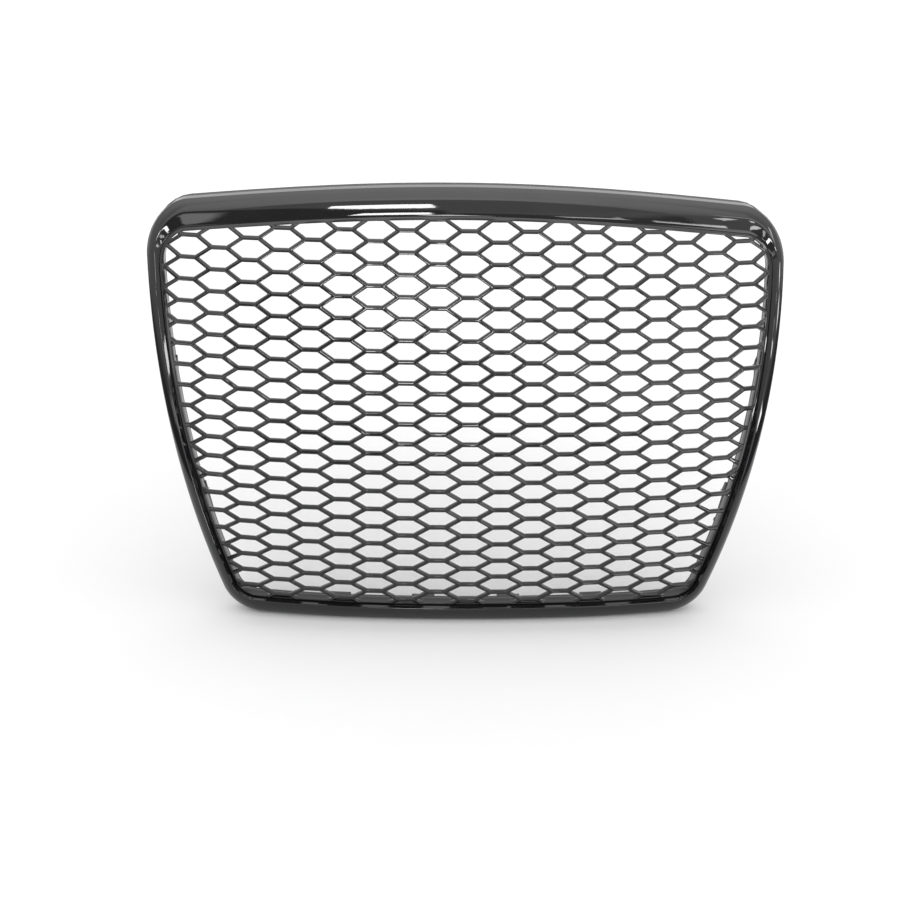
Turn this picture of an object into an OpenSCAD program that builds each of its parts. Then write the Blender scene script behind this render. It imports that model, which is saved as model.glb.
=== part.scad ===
// Front grille: a gloss surround frame, a one-piece honeycomb insert, a rear
// carrier that clamps the two together, and the fixings on the carrier's back.
// Seen from the front, +X is right, +Z is up and +Y goes back into the car.
// The shape is laid out from the middle of the honeycomb, on its face surface;
// the finished part's origin is the middle of the row of top fixing holes, on
// the upper face of their brackets.

/* [Outline of the surround] */
// Height of the top edge above the middle of the honeycomb
outline_top = 211; // [207:0.5:214]
// Depth of the bottom edge below the middle of the honeycomb
outline_bottom = 200.5; // [198:0.5:204]
// Half width at the shoulder level
half_w_shoulder = 333; // [330:0.5:336]
// Half width at the chin level
half_w_chin = 256; // [253:0.5:259]
// Radius of the crowned top edge
top_arc_r = 2800; // [2600:50:3200]
// Radius of the bowed sides
side_arc_r = 2100; // [1900:50:2400]
// Radius of the nearly straight bottom edge
bottom_arc_r = 20000; // [15000:1000:30000]
// Radius of the top corners
corner_top_r = 43; // [40:1:48]
// Radius of the bottom corners
corner_bottom_r = 42; // [40:1:46]

/* [Shape of the face] */
// Plan bow, square term, at 300 mm from the middle
bow_2 = 14; // [10:0.5:16]
// Plan bow, fourth-power term, at 300 mm from the middle
bow_4 = 13; // [10:0.5:15]
// Lean, linear term, at 200 mm above the middle
lean_1 = 77; // [70:1:80]
// Lean, square term, at 200 mm above the middle
lean_2 = 65; // [60:1:68]
// Lean, cubic term, at 200 mm above the middle
lean_3 = 11; // [8:0.5:13]
// Flattening of the plan bow towards the top
twist = 7; // [5:0.5:9]

/* [Honeycomb] */
// Distance between neighbouring columns of cells
cell_pitch_x = 32; // [31:0.5:33]
// Distance between the cells of one column
cell_pitch_z = 18.4; // [18:0.1:18.8]
// Length of a cell's flat top or bottom edge, between bar centre lines
cell_flat = 16; // [14:0.5:18]
// Width of a bar
bar_w = 3.2; // [2.6:0.1:3.6]
// Depth of a bar, front to back
bar_depth = 5.5; // [4.5:0.5:6]

/* [Fixings] */
// Distance between neighbouring top fixing holes
top_hole_spacing = 120; // [118:1:124]
// Diameter of the top fixing holes, for a 6 mm bolt
top_hole_d = 6.6; // [6.2:0.1:7]
// How far back the top fixing holes lie
top_hole_y = 226; // [222:1:228]
// Diameter of the two locating pins
pin_d = 6; // [5:0.5:7]
// Length of a locating pin behind the carrier
pin_len = 14; // [10:1:18]
// Thread diameter of the self-tapping screws
screw_d = 3.5; // [3:0.5:4]

/* [Hidden] */
// diameter that a screw's thread cuts into
bore_d = screw_d - 0.6;
$fn = 32;

// levels at which the two half widths are measured
shoulder_z = 152;
chin_z = -164;
// points on the top half, each corner, each side and the bottom half
n_top = 8;
n_corner = 8;
n_side = 10;
n_bottom = 7;
// places where the face's bow and lean terms are measured
bow_at = 300;
lean_at = 200;

// how far the crest, the lip and the opening lie inside the outer outline: at the
// top, bottom, shoulders and chins, then off the top and bottom corner radii
crest_in = [8.5, 18, 9, 12.5, 8, 14];
lip_in = [23.5, 19.5, 13.5, 15, 15, 17];
opening_in = [27, 22, 18, 18.5, 19, 20];

// section of the surround: depths are measured back from the face surface
edge_d = 1.5;
return_d = 14;
crest_d = -8;
lip_d = -2.5;
lip_len = 6.5;
lip_round = 0.4;
shell_t = 2.5;
lip_t = 2.2;
// section of the insert's rim
rim_front_d = -2;
rim_back_d = 10;
rim_flange_t = 2;
rim_t = 1.8;
rim_step = 2;
lip_gap = 0.3;
bar_overlap = 0.4;
// section of the carrier
carrier_d = 10;
carrier_t = 3;
carrier_wall_d = 21;
carrier_wall_t = 4;
carrier_gap = 0.2;
seal_t = 3;
seal_w = 3.5;

// fixings
ledge_w = 34;
ledge_t = 3;
ledge_z = 191;
ledge_back_y = 214;
ledge_root = 1.5;
bracket_w = 26;
bracket_t = 2;
bracket_front_y = 186;
bracket_back_y = 238;
bracket_screw_y = [192, 206];
rib_t = 2.5;
rib_drop = 4;
clearance_d = 4.2;
boss_d = 6.4;
boss_front_d = -3.8;
bore_front_d = -2.2;
head_d = 7;
head_h = 2.2;
washer_d = 8;
washer_t = 0.8;
point_len = 2;
slot = [4.4, 1, 1.2];
// longer than any hole is deep
hole_len = 30;
screw_len = 10;
clip_screw_len = 5;
clip_t = 2.5;
clip_reach = 22;
clip_w = 12;
clip_foot = [9, 32];
clip_screw_x = 11;
barb = [1.6, 8];
hook_t = 2.5;
hook_reach = 21;
hook_w = 24;
hook_foot = 12.5;
hook_heel = 8.5;
hook_tip = 3;
hook_screw_x = 7;
spring_t = 0.7;
spring_w = 1.6;
spring_len = 12;
spring_slack = 0.05;
pin_base = 3;
pin_nose = 3;
pin_collar = 1.5;
pin_taper = 1.2;
pad_d = 7;
pad_t = 9.5;

// finishes
gloss_black = [0.05, 0.05, 0.055];
mesh_black = [0.07, 0.07, 0.075];
plastic_black = [0.13, 0.13, 0.14];
foam_grey = [0.16, 0.16, 0.16];
rubber_grey = [0.2, 0.2, 0.2];
zinc_grey = [0.62, 0.64, 0.66];
spring_grey = [0.72, 0.73, 0.75];
screw_grey = [0.45, 0.45, 0.47];

// y of the face surface
function face(x, z) = let (u = x / bow_at, v = z / lean_at)
    bow_2 * u ^ 2 + bow_4 * u ^ 4 + lean_1 * v + lean_2 * v ^ 2 + lean_3 * v ^ 3 - twist * u ^ 2 * v;
// slopes of the face surface
function slope_x(x, z) = (face(x + 0.5, z) - face(x - 0.5, z));
function slope_z(x, z) = (face(x, z + 0.5) - face(x, z - 0.5));

function unit(v) = v / norm(v);
function arc(c, r, a0, a1, n) =
    [for (i = [0:n - 1]) let (a = a0 + (a1 - a0) * i / n) c + r * [cos(a), sin(a)]];
// one of the two points at distance ra from a and rb from b
function meet(a, ra, b, rb, side) =
    let (
        d = norm(b - a),
        e = (b - a) / d,
        s = (ra * ra - rb * rb + d * d) / (2 * d)
    )
    a + s * e + side * sqrt(ra * ra - s * s) * [-e.y, e.x];
function heading(v) = atan2(v.y, v.x);

// a closed outline of four bowed edges and four round corners, clockwise from
// the middle of the top; the four insets move its edges in from the outer outline
function outline(in_top, in_bottom, in_shoulder, in_chin, r_top, r_bottom) =
    let (
        top_c = [0, outline_top - in_top - top_arc_r],
        bottom_c = [0, in_bottom - outline_bottom + bottom_arc_r],
        hi = [half_w_shoulder - in_shoulder, shoulder_z],
        lo = [half_w_chin - in_chin, chin_z],
        half = norm(hi - lo) / 2,
        e = unit(hi - lo),
        side_c = (hi + lo) / 2 + sqrt(side_arc_r ^ 2 - half ^ 2) * [-e.y, e.x],
        c1 = meet(top_c, top_arc_r - r_top, side_c, side_arc_r - r_top, -1),
        c2 = meet(bottom_c, bottom_arc_r - r_bottom, side_c, side_arc_r - r_bottom, 1),
        a1 = heading(c1 - top_c),
        a2 = heading(c1 - side_c),
        a3 = heading(c2 - side_c),
        a4 = heading(c2 - bottom_c),
        right = concat(
            arc(top_c, top_arc_r, 90, a1, n_top),
            arc(c1, r_top, a1, a2, n_corner),
            arc(side_c, side_arc_r, a2, a3, n_side),
            arc(c2, r_bottom, a3, a4, n_corner),
            arc(bottom_c, bottom_arc_r, a4, -90, n_bottom),
            [[0, in_bottom - outline_bottom]]
        )
    )
    concat(right, [for (i = [len(right) - 2:-1:1]) [-right[i].x, right[i].y]]);

// the four outlines that rule the section all round
function inside(v) =
    outline(v[0], v[1], v[2], v[3], corner_top_r - v[4], corner_bottom_r - v[5]);
outer = inside([0, 0, 0, 0, 0, 0]);
crest = inside(crest_in);
lip = inside(lip_in);
opening = inside(opening_in);
n_round = len(outer);

// outlines between two others: by a fraction, or by a distance from the first
function mix(a, b, t) = [for (i = [0:n_round - 1]) a[i] + t * (b[i] - a[i])];
function towards(a, b, d) = [for (i = [0:n_round - 1]) a[i] + d * unit(b[i] - a[i])];
// an outline laid on the face surface, d behind it
function laid(o, d) = [for (p = o) [p.x, face(p.x, p.y) + d, p.y]];

// a ring whose section runs through the given loops in turn
module ring(loops) {
    m = len(loops);
    polyhedron(
        points = [for (l = loops) each l],
        faces = [for (j = [0:m - 1], i = [0:n_round - 1])
            let (
                a = j * n_round + i,
                b = j * n_round + (i + 1) % n_round,
                c = (j + 1) % m * n_round + i,
                d = (j + 1) % m * n_round + (i + 1) % n_round
            )
            each [[a, d, b], [a, c, d]]],
        convexity = 8
    );
}

// a strip with the same kind of section, closed at both ends
module strip(loops) {
    m = len(loops);
    n = len(loops[0]);
    polyhedron(
        points = [for (l = loops) each l],
        faces = concat(
            [for (j = [0:m - 1], i = [0:n - 2])
                let (
                    a = j * n + i,
                    b = a + 1,
                    c = (j + 1) % m * n + i,
                    d = c + 1
                )
                each [[a, d, b], [a, c, d]]],
            [[for (j = [m - 1:-1:0]) j * n]],
            [[for (j = [0:m - 1]) j * n + n - 1]]
        ),
        convexity = 4
    );
}

// puts its child on the face surface at a point, d behind it, its +Z along the
// surface's normal towards the back
module on_face(p, d) {
    sx = slope_x(p.x, p.y);
    sz = slope_z(p.x, p.y);
    translate([p.x, face(p.x, p.y) + d, p.y])
        rotate([0, 0, atan2(sx, 1)])
            rotate([-90 - atan2(sz, sqrt(1 + sx * sx)), 0, 0])
                children();
}
// how far back along the normal a depth d lies
function normal_len(p, d) = d / sqrt(1 + slope_x(p.x, p.y) ^ 2 + slope_z(p.x, p.y) ^ 2);

// where things sit around the ring: station numbers on the right half, and
// their mirror images on the left
function both_sides(list) = concat(list, [for (i = list) n_round - i]);
screw_line = mix(outer, lip, 0.62);
flange_line = mix(towards(outer, opening, carrier_wall_t), opening, 0.5);
screw_at = concat([0, n_round / 2], both_sides([3, 6, 12, 17, 21, 25, 30, 35, 38]));
pad_at = both_sides([4, 10, 15, 22, 32]);
hook_x = [-137, -46, 46, 137];
hook_z = -186;
clip_stations = [19, 23];
pin_station = 24;
bracket_x = [for (i = [-1.5:1:1.5]) i * top_hole_spacing];

// height of the outer outline's top edge above a given x
function top_edge(x) = outline_top - top_arc_r + sqrt(top_arc_r ^ 2 - x ^ 2);

// moves a finished piece so that the origin lies at the top fixings
module placed() {
    translate([0, -top_hole_y, -ledge_z - bracket_t])
        children();
}

module surround_frame() {
    boss_len = carrier_d - rim_flange_t - boss_front_d;
    color(gloss_black)
        difference() {
            union() {
                ring([
                    laid(towards(outer, crest, shell_t), return_d),
                    laid(towards(outer, crest, shell_t), edge_d + 1),
                    laid(mix(outer, crest, 0.42), -1.8),
                    laid(towards(crest, outer, 1.5), crest_d + 3),
                    laid(towards(lip, outer, lip_t), lip_d + shell_t),
                    laid(towards(lip, outer, lip_t), lip_d + lip_len),
                    laid(lip, lip_d + lip_len),
                    laid(lip, lip_d + lip_round),
                    laid(mix(crest, lip, 0.92), lip_d - lip_round),
                    laid(mix(crest, lip, 0.5), -5.4),
                    laid(mix(crest, lip, 0.08), crest_d + 0.2),
                    laid(mix(outer, crest, 0.9), crest_d + 0.2),
                    laid(mix(outer, crest, 0.5), -5.8),
                    laid(mix(outer, crest, 0.1), -edge_d),
                    laid(outer, edge_d),
                    laid(outer, return_d)
                ]);
                for (i = screw_at)
                    on_face(screw_line[i], 0)
                        translate([0, 0, normal_len(screw_line[i], boss_front_d)])
                            cylinder(d = boss_d, h = normal_len(screw_line[i], boss_len));
            }
            for (i = screw_at)
                on_face(screw_line[i], 0)
                    translate([0, 0, normal_len(screw_line[i], bore_front_d)])
                        cylinder(d = bore_d, h = hole_len);
        }
}

// one cell's opening, outlined in x and z
module cell_hole(i, j) {
    run = cell_pitch_x - cell_flat;
    rise = cell_pitch_z / 2;
    x_tip = cell_flat / 2 + run - bar_w / 2 * norm([run, rise]) / rise;
    z_half = rise - bar_w / 2;
    x_flat = x_tip - z_half * run / rise;
    translate([i * cell_pitch_x, j * cell_pitch_z / 2])
        polygon([[x_tip, 0], [x_flat, z_half], [-x_flat, z_half],
            [-x_tip, 0], [-x_flat, -z_half], [x_flat, -z_half]]);
}

// a plate that follows the face surface, laid out in flat facets
module face_plate(d0, d1) {
    nx = 10;
    nz = 11;
    half_x = half_w_shoulder - 7;
    low_z = -outline_bottom + 15;
    high_z = outline_top - 20;
    xs = [for (i = [0:nx]) half_x * (2 * i / nx - 1)];
    zs = [for (j = [0:nz]) low_z + (high_z - low_z) * j / nz];
    row = nx + 1;
    layer = row * (nz + 1);
    rim = concat(
        [for (i = [0:nx]) i],
        [for (j = [1:nz]) j * row + nx],
        [for (i = [nx - 1:-1:0]) nz * row + i],
        [for (j = [nz - 1:-1:1]) j * row]
    );
    polyhedron(
        points = [for (d = [d0, d1], z = zs, x = xs) [x, face(x, z) + d, z]],
        faces = concat(
            [for (j = [0:nz - 1], i = [0:nx - 1]) let (a = j * row + i)
                each [[a, a + row + 1, a + 1], [a, a + row, a + row + 1]]],
            [for (j = [0:nz - 1], i = [0:nx - 1]) let (a = layer + j * row + i)
                each [[a, a + 1, a + row + 1], [a, a + row + 1, a + row]]],
            [for (k = [0:len(rim) - 1]) let (a = rim[k], b = rim[(k + 1) % len(rim)])
                each [[a, b, b + layer], [a, b + layer, a + layer]]]
        ),
        convexity = 4
    );
}

module honeycomb_insert() {
    half_rows = 21;
    half_columns = 10;
    color(mesh_black)
        union() {
            difference() {
                ring([
                    laid(towards(lip, opening, lip_gap), rim_front_d),
                    laid(towards(lip, opening, lip_gap), rim_front_d + rim_step),
                    laid(towards(opening, outer, rim_t), rim_front_d + rim_step),
                    laid(towards(opening, outer, rim_t), rim_back_d - rim_flange_t),
                    laid(towards(outer, opening, carrier_wall_t), rim_back_d - rim_flange_t),
                    laid(towards(outer, opening, carrier_wall_t), rim_back_d),
                    laid(opening, rim_back_d),
                    laid(opening, rim_front_d)
                ]);
                for (i = screw_at)
                    on_face(screw_line[i], 0)
                        cylinder(d = clearance_d, h = hole_len);
            }
            intersection() {
                face_plate(-bar_depth / 2, bar_depth / 2);
                rotate([90, 0, 0])
                    translate([0, 0, -250])
                        linear_extrude(height = 320)
                            difference() {
                                polygon(towards(opening, outer, bar_overlap));
                                for (i = [-half_columns:half_columns], j = [-half_rows:half_rows])
                                    if ((i + j) % 2 == 0) cell_hole(i, j);
                            }
            }
        }
}

module rear_carrier() {
    color(plastic_black)
        difference() {
            union() {
                ring([
                    laid(towards(outer, opening, shell_t + carrier_gap), carrier_d),
                    laid(towards(outer, opening, shell_t + carrier_gap), return_d),
                    laid(outer, return_d),
                    laid(outer, carrier_wall_d),
                    laid(towards(outer, opening, carrier_wall_t), carrier_wall_d),
                    laid(towards(outer, opening, carrier_wall_t), carrier_d + carrier_t),
                    laid(towards(opening, outer, carrier_gap), carrier_d + carrier_t),
                    laid(towards(opening, outer, carrier_gap), carrier_d)
                ]);
                for (x = bracket_x) top_ledge(x);
            }
            for (i = screw_at)
                on_face(screw_line[i], 0)
                    cylinder(d = clearance_d, h = hole_len);
            for (x = bracket_x, y = bracket_screw_y)
                translate([x, y, ledge_z - hole_len / 2])
                    cylinder(d = bore_d, h = hole_len);
            for (side = [-1, 1], station = clip_stations)
                clip_holes(side, station)
                    cylinder(d = bore_d, h = hole_len);
            for (x = hook_x)
                hook_holes([x, hook_z])
                    cylinder(d = bore_d, h = hole_len);
        }
}

// a shelf on the carrier's back that a top bracket lies on, with two ribs
module top_ledge(x) {
    front = face(x, ledge_z) + carrier_d + ledge_root;
    rib_top = top_edge(x) - rib_drop;
    translate([x - ledge_w / 2, front, ledge_z - ledge_t])
        cube([ledge_w, ledge_back_y - front, ledge_t]);
    for (s = [-1, 1])
        translate([x + s * (ledge_w - rib_t) / 2 - rib_t / 2, 0, 0])
            rotate([90, 0, 90])
                linear_extrude(height = rib_t)
                    polygon([
                        [front, ledge_z - 1],
                        [face(x, rib_top) + carrier_d + ledge_root, rib_top],
                        [face(x, top_edge(x)) + carrier_wall_d - 1, rib_top],
                        [ledge_back_y, ledge_z - 1]
                    ]);
}

module top_bracket(n) {
    x = bracket_x[n];
    color(zinc_grey)
        difference() {
            union() {
                translate([x - bracket_w / 2, bracket_front_y, ledge_z])
                    cube([bracket_w, bracket_back_y - bracket_w / 2 - bracket_front_y, bracket_t]);
                translate([x, bracket_back_y - bracket_w / 2, ledge_z])
                    cylinder(d = bracket_w, h = bracket_t);
            }
            translate([x, top_hole_y, ledge_z - 1])
                cylinder(d = top_hole_d, h = bracket_t + 2);
            for (y = bracket_screw_y)
                translate([x, y, ledge_z - 1])
                    cylinder(d = clearance_d, h = bracket_t + 2);
        }
}

module bracket_screws() {
    color(screw_grey)
        for (x = bracket_x, y = bracket_screw_y)
            translate([x, y, ledge_z + bracket_t])
                rotate([180, 0, 0])
                    screw(screw_len);
}

// a pan-head screw with its head on z = 0 and its shank along +Z
module screw(len) {
    difference() {
        union() {
            translate([0, 0, -head_h])
                cylinder(d = head_d, h = head_h);
            cylinder(d = bore_d, h = len - point_len);
            translate([0, 0, len - point_len])
                cylinder(d1 = bore_d, d2 = 1, h = point_len);
        }
        for (a = [0, 90])
            rotate([0, 0, a])
                translate([-slot.x / 2, -slot.y / 2, -head_h - 1])
                    cube([slot.x, slot.y, slot.z + 1]);
    }
}

// a screw and a washer at each boss, driven in from the back
module carrier_screws() {
    color(screw_grey)
        for (i = screw_at)
            on_face(screw_line[i], 0)
                translate([0, 0, normal_len(screw_line[i], carrier_d + carrier_t) + washer_t])
                    rotate([180, 0, 0])
                        screw(screw_len);
}

module carrier_washers() {
    color(spring_grey)
        for (i = screw_at)
            on_face(screw_line[i], 0)
                translate([0, 0, normal_len(screw_line[i], carrier_d + carrier_t)])
                    difference() {
                        cylinder(d = washer_d, h = washer_t);
                        translate([0, 0, -1])
                            cylinder(d = clearance_d, h = washer_t + 2);
                    }
}

// a foam strip on the rear edge of the carrier's wall, along the top and into
// both corners
module top_seal() {
    reach = n_top + 4;
    stations = [for (i = [-reach:reach]) (i + n_round) % n_round];
    edge = [for (i = stations) outer[i]];
    inner = [for (i = stations) towards(outer, opening, seal_w)[i]];
    color(foam_grey)
        strip([
            laid(edge, carrier_wall_d),
            laid(edge, carrier_wall_d + seal_t),
            laid(inner, carrier_wall_d + seal_t),
            laid(inner, carrier_wall_d)
        ]);
}

// side clips: a foot on the carrier's flange and a tongue that points straight
// back; side is 1 on the right and -1 on the left
function clip_point(side, station) = let (p = flange_line[station]) [side * p.x, p.y];
function side_lean(station) = let (d = outer[station - 1] - outer[station + 1]) atan2(d.x, d.y);

module clip_frame(side, station) {
    p = clip_point(side, station);
    translate([p.x, face(p.x, p.y) + carrier_d + carrier_t, p.y])
        rotate([0, side * side_lean(station), 0])
            children();
}

module side_clip(side, station) {
    p = clip_point(side, station);
    foot = normal_len(p, carrier_d + carrier_t);
    color(plastic_black)
        difference() {
            union() {
                on_face(p, 0)
                    rotate([0, 0, side * side_lean(station)])
                        translate([-clip_foot.x / 2, -clip_foot.y / 2, foot])
                            cube([clip_foot.x, clip_foot.y, clip_t]);
                clip_frame(side, station) {
                    translate([-clip_t / 2, -1, -clip_w / 2])
                        cube([clip_t, clip_reach + 1, clip_w]);
                    translate([side * clip_t / 2, clip_reach - barb.y - 1, -barb.y / 2])
                        linear_extrude(height = barb.y)
                            polygon([[0, 0], [side * barb.x, barb.x], [0, barb.y]]);
                }
            }
            clip_holes(side, station)
                cylinder(d = clearance_d, h = hole_len);
        }
}

// the two screw places of a side clip's foot
module clip_holes(side, station) {
    on_face(clip_point(side, station), 0)
        rotate([0, 0, side * side_lean(station)])
            for (s = [-1, 1])
                translate([0, s * clip_screw_x, 0])
                    children();
}

module spring_clips() {
    color(spring_grey)
        for (side = [-1, 1], station = clip_stations)
            clip_frame(side, station)
                translate([0, clip_reach + 1 - spring_len, 1 - clip_w / 2])
                    linear_extrude(height = spring_w)
                        translate([-clip_t / 2 - spring_t - spring_slack, 0])
                            difference() {
                                square([clip_t + 2 * (spring_t + spring_slack), spring_len]);
                                translate([spring_t, -1])
                                    square([clip_t + 2 * spring_slack, spring_len + 0.2]);
                            }
}

// bottom hooks: a foot on the flange and a tongue that tucks under the bumper
module bottom_hook(n) {
    p = [hook_x[n], hook_z];
    foot = normal_len(p, carrier_d + carrier_t);
    color(plastic_black)
        difference() {
            on_face(p, 0)
                rotate([0, 0, 180])
                    translate([-hook_w / 2, 0, foot])
                        union() {
                            translate([0, -hook_heel, 0])
                                cube([hook_w, hook_foot, hook_t]);
                            translate([0, -hook_heel, 0])
                                cube([hook_w, hook_t, hook_reach]);
                            translate([0, 1 - hook_heel - hook_tip, hook_reach - hook_t])
                                cube([hook_w, hook_tip, hook_t]);
                        }
            hook_holes(p)
                cylinder(d = clearance_d, h = hole_len);
        }
}

module hook_holes(p) {
    on_face(p, 0)
        for (s = [-1, 1])
            translate([s * hook_screw_x, 0, 0])
                children();
}

module clip_screws() {
    color(screw_grey) {
        for (side = [-1, 1], station = clip_stations) {
            clip_holes(side, station)
                translate([0, 0, normal_len(clip_point(side, station), carrier_d + carrier_t) + clip_t])
                    rotate([180, 0, 0])
                        screw(clip_screw_len);
        }
        for (x = hook_x) {
            p = [x, hook_z];
            hook_holes(p)
                translate([0, 0, normal_len(p, carrier_d + carrier_t) + hook_t])
                    rotate([180, 0, 0])
                        screw(clip_screw_len);
        }
    }
}

// a round peg with a tapered nose that centres the grille in the bumper
module locating_pin(side) {
    p = clip_point(side, pin_station);
    color(plastic_black)
        translate([p.x, face(p.x, p.y) + carrier_d + carrier_t, p.y])
            rotate([-90, 0, 0]) {
                translate([0, 0, -pin_collar])
                    cylinder(d = pin_d + 2 * pin_collar, h = pin_base + pin_collar);
                translate([0, 0, pin_base])
                    cylinder(d = pin_d, h = pin_len - pin_nose - pin_base);
                translate([0, 0, pin_len - pin_nose])
                    cylinder(d1 = pin_d, d2 = pin_d - 2 * pin_taper, h = pin_nose);
            }
}

// rubber pads on the carrier's flange that stand just proud of its wall
module anti_rattle_pads() {
    color(rubber_grey)
        for (i = pad_at) {
            p = flange_line[i];
            translate([p.x, face(p.x, p.y) + carrier_d + carrier_t, p.y])
                rotate([-90, 0, 0])
                    cylinder(d = pad_d, h = pad_t);
        }
}

placed() surround_frame();
placed() honeycomb_insert();
placed() rear_carrier();
placed() top_seal();
placed() top_bracket(0);  // top_bracket_left_outer
placed() top_bracket(1);  // top_bracket_left_inner
placed() top_bracket(2);  // top_bracket_right_inner
placed() top_bracket(3);  // top_bracket_right_outer
placed() side_clip(-1, clip_stations[0]);  // side_clip_left_upper
placed() side_clip(-1, clip_stations[1]);  // side_clip_left_lower
placed() side_clip(1, clip_stations[0]);  // side_clip_right_upper
placed() side_clip(1, clip_stations[1]);  // side_clip_right_lower
placed() bottom_hook(0);  // bottom_hook_left_outer
placed() bottom_hook(1);  // bottom_hook_left_inner
placed() bottom_hook(2);  // bottom_hook_right_inner
placed() bottom_hook(3);  // bottom_hook_right_outer
placed() locating_pin(-1);  // locating_pin_left
placed() locating_pin(1);  // locating_pin_right
placed() spring_clips();
placed() carrier_screws();
placed() carrier_washers();
placed() bracket_screws();
placed() clip_screws();
placed() anti_rattle_pads();
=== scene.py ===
# %% [markdown]
# # A gloss black front grille
# A front grille is a rounded surround frame, a thin honeycomb that fills it, and a
# rear carrier that clamps the two together. The engineering model of all its parts
# is loaded first and stays fixed. The cells after that give each part its finish,
# and rebuild the curved parts with finer meshes and softened edges.

# %% Load the fixed frame
import math

import bmesh
import bpy
import numpy as np
from mathutils import Matrix, Vector


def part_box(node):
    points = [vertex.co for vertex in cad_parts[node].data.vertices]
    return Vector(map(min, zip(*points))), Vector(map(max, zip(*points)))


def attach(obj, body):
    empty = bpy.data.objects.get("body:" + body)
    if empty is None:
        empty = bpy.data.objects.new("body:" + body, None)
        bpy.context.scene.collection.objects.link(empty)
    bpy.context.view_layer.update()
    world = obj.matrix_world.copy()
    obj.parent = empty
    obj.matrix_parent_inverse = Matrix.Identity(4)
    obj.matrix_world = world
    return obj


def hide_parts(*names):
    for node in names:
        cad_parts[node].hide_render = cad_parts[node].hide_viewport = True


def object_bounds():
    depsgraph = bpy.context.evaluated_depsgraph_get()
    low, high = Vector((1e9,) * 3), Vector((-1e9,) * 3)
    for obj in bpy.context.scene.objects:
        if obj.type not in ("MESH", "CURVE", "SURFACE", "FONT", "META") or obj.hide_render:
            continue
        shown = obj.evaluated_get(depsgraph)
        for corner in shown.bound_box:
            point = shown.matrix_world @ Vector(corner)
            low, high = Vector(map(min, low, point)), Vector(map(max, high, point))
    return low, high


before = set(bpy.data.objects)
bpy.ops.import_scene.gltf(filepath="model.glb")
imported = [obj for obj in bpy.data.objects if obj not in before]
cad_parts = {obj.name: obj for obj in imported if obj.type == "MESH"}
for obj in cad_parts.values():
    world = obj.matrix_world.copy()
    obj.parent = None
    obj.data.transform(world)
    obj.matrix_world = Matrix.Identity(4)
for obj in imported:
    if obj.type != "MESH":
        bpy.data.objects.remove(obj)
cad_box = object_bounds()
BODY = "root"
MM = 0.001
print("nodes in the frame:", len(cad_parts))

# %% [markdown]
# The surfaces are laid out in their own axes: x to the right, z up, and a depth
# that goes back into the car, all measured from the middle of the honeycomb. The
# top of the surround and the front of a bracket tell where that middle is.

# %% Find the middle of the honeycomb
TOP_EDGE = 211.0
BOTTOM_EDGE = 200.5
BRACKET_FRONT = 186.0
surround_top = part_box("surround_frame")[1][2]
bracket_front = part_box("top_bracket_left_inner")[0][1]
middle = Vector((0.0, bracket_front - BRACKET_FRONT * MM, surround_top - TOP_EDGE * MM))
print("middle of the honeycomb:", tuple(round(v, 4) for v in middle))

# %% [markdown]
# The honeycomb lies on one smooth surface. It is bowed in plan and leans back
# more and more towards the top. A short polynomial gives its depth in mm, and
# everything else is laid a set distance in front of it or behind it.

# %% The face surface
BOW = (14.0, 13.0)
LEAN = (77.0, 65.0, 11.0)
TWIST = 7.0
BOW_AT = 300.0
LEAN_AT = 200.0


def face_depth(x, z):
    u2 = (x / BOW_AT) ** 2
    v = z / LEAN_AT
    bow = BOW[0] * u2 + BOW[1] * u2 ** 2
    return bow + LEAN[0] * v + LEAN[1] * v ** 2 + LEAN[2] * v ** 3 - TWIST * u2 * v


def face_slope(x, z):
    sx = face_depth(x + 0.5, z) - face_depth(x - 0.5, z)
    sz = face_depth(x, z + 0.5) - face_depth(x, z - 0.5)
    return sx, sz


def to_frame(x, depth, z):
    """Points given in mm on the face axes, as metres in the part's own frame."""
    points = np.stack([x, depth + face_depth(x, z), z], axis=-1) * MM
    return points + np.array(middle)


print("face depth at the top middle:", face_depth(0.0, TOP_EDGE), "mm")

# %% [markdown]
# Four outlines rule the surround all the way round: its outer edge, its crest,
# its inner lip and the opening. Each is made of a crowned top, two bowed sides, a
# nearly straight bottom and four round corners that join them without a kink. The
# same number of points on each lets a section run from one to the next.

# %% Outlines
TOP_ARC = 2800.0
SIDE_ARC = 2100.0
BOTTOM_ARC = 20000.0
SHOULDER = (333.0, 152.0)
CHIN = (256.0, -164.0)
CORNERS = (43.0, 42.0)
POINTS_ON = {"top": 30, "corner": 18, "side": 30, "bottom": 24}


def heading(v):
    return math.atan2(v[1], v[0])


def meeting_point(a, ra, b, rb, side):
    d = np.linalg.norm(b - a)
    e = (b - a) / d
    s = (ra * ra - rb * rb + d * d) / (2 * d)
    return a + s * e + side * math.sqrt(ra * ra - s * s) * np.array([-e[1], e[0]])


def arc(centre, radius, start, end, count):
    angles = start + (end - start) * np.arange(count) / count
    return centre + radius * np.stack([np.cos(angles), np.sin(angles)], axis=-1)


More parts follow.
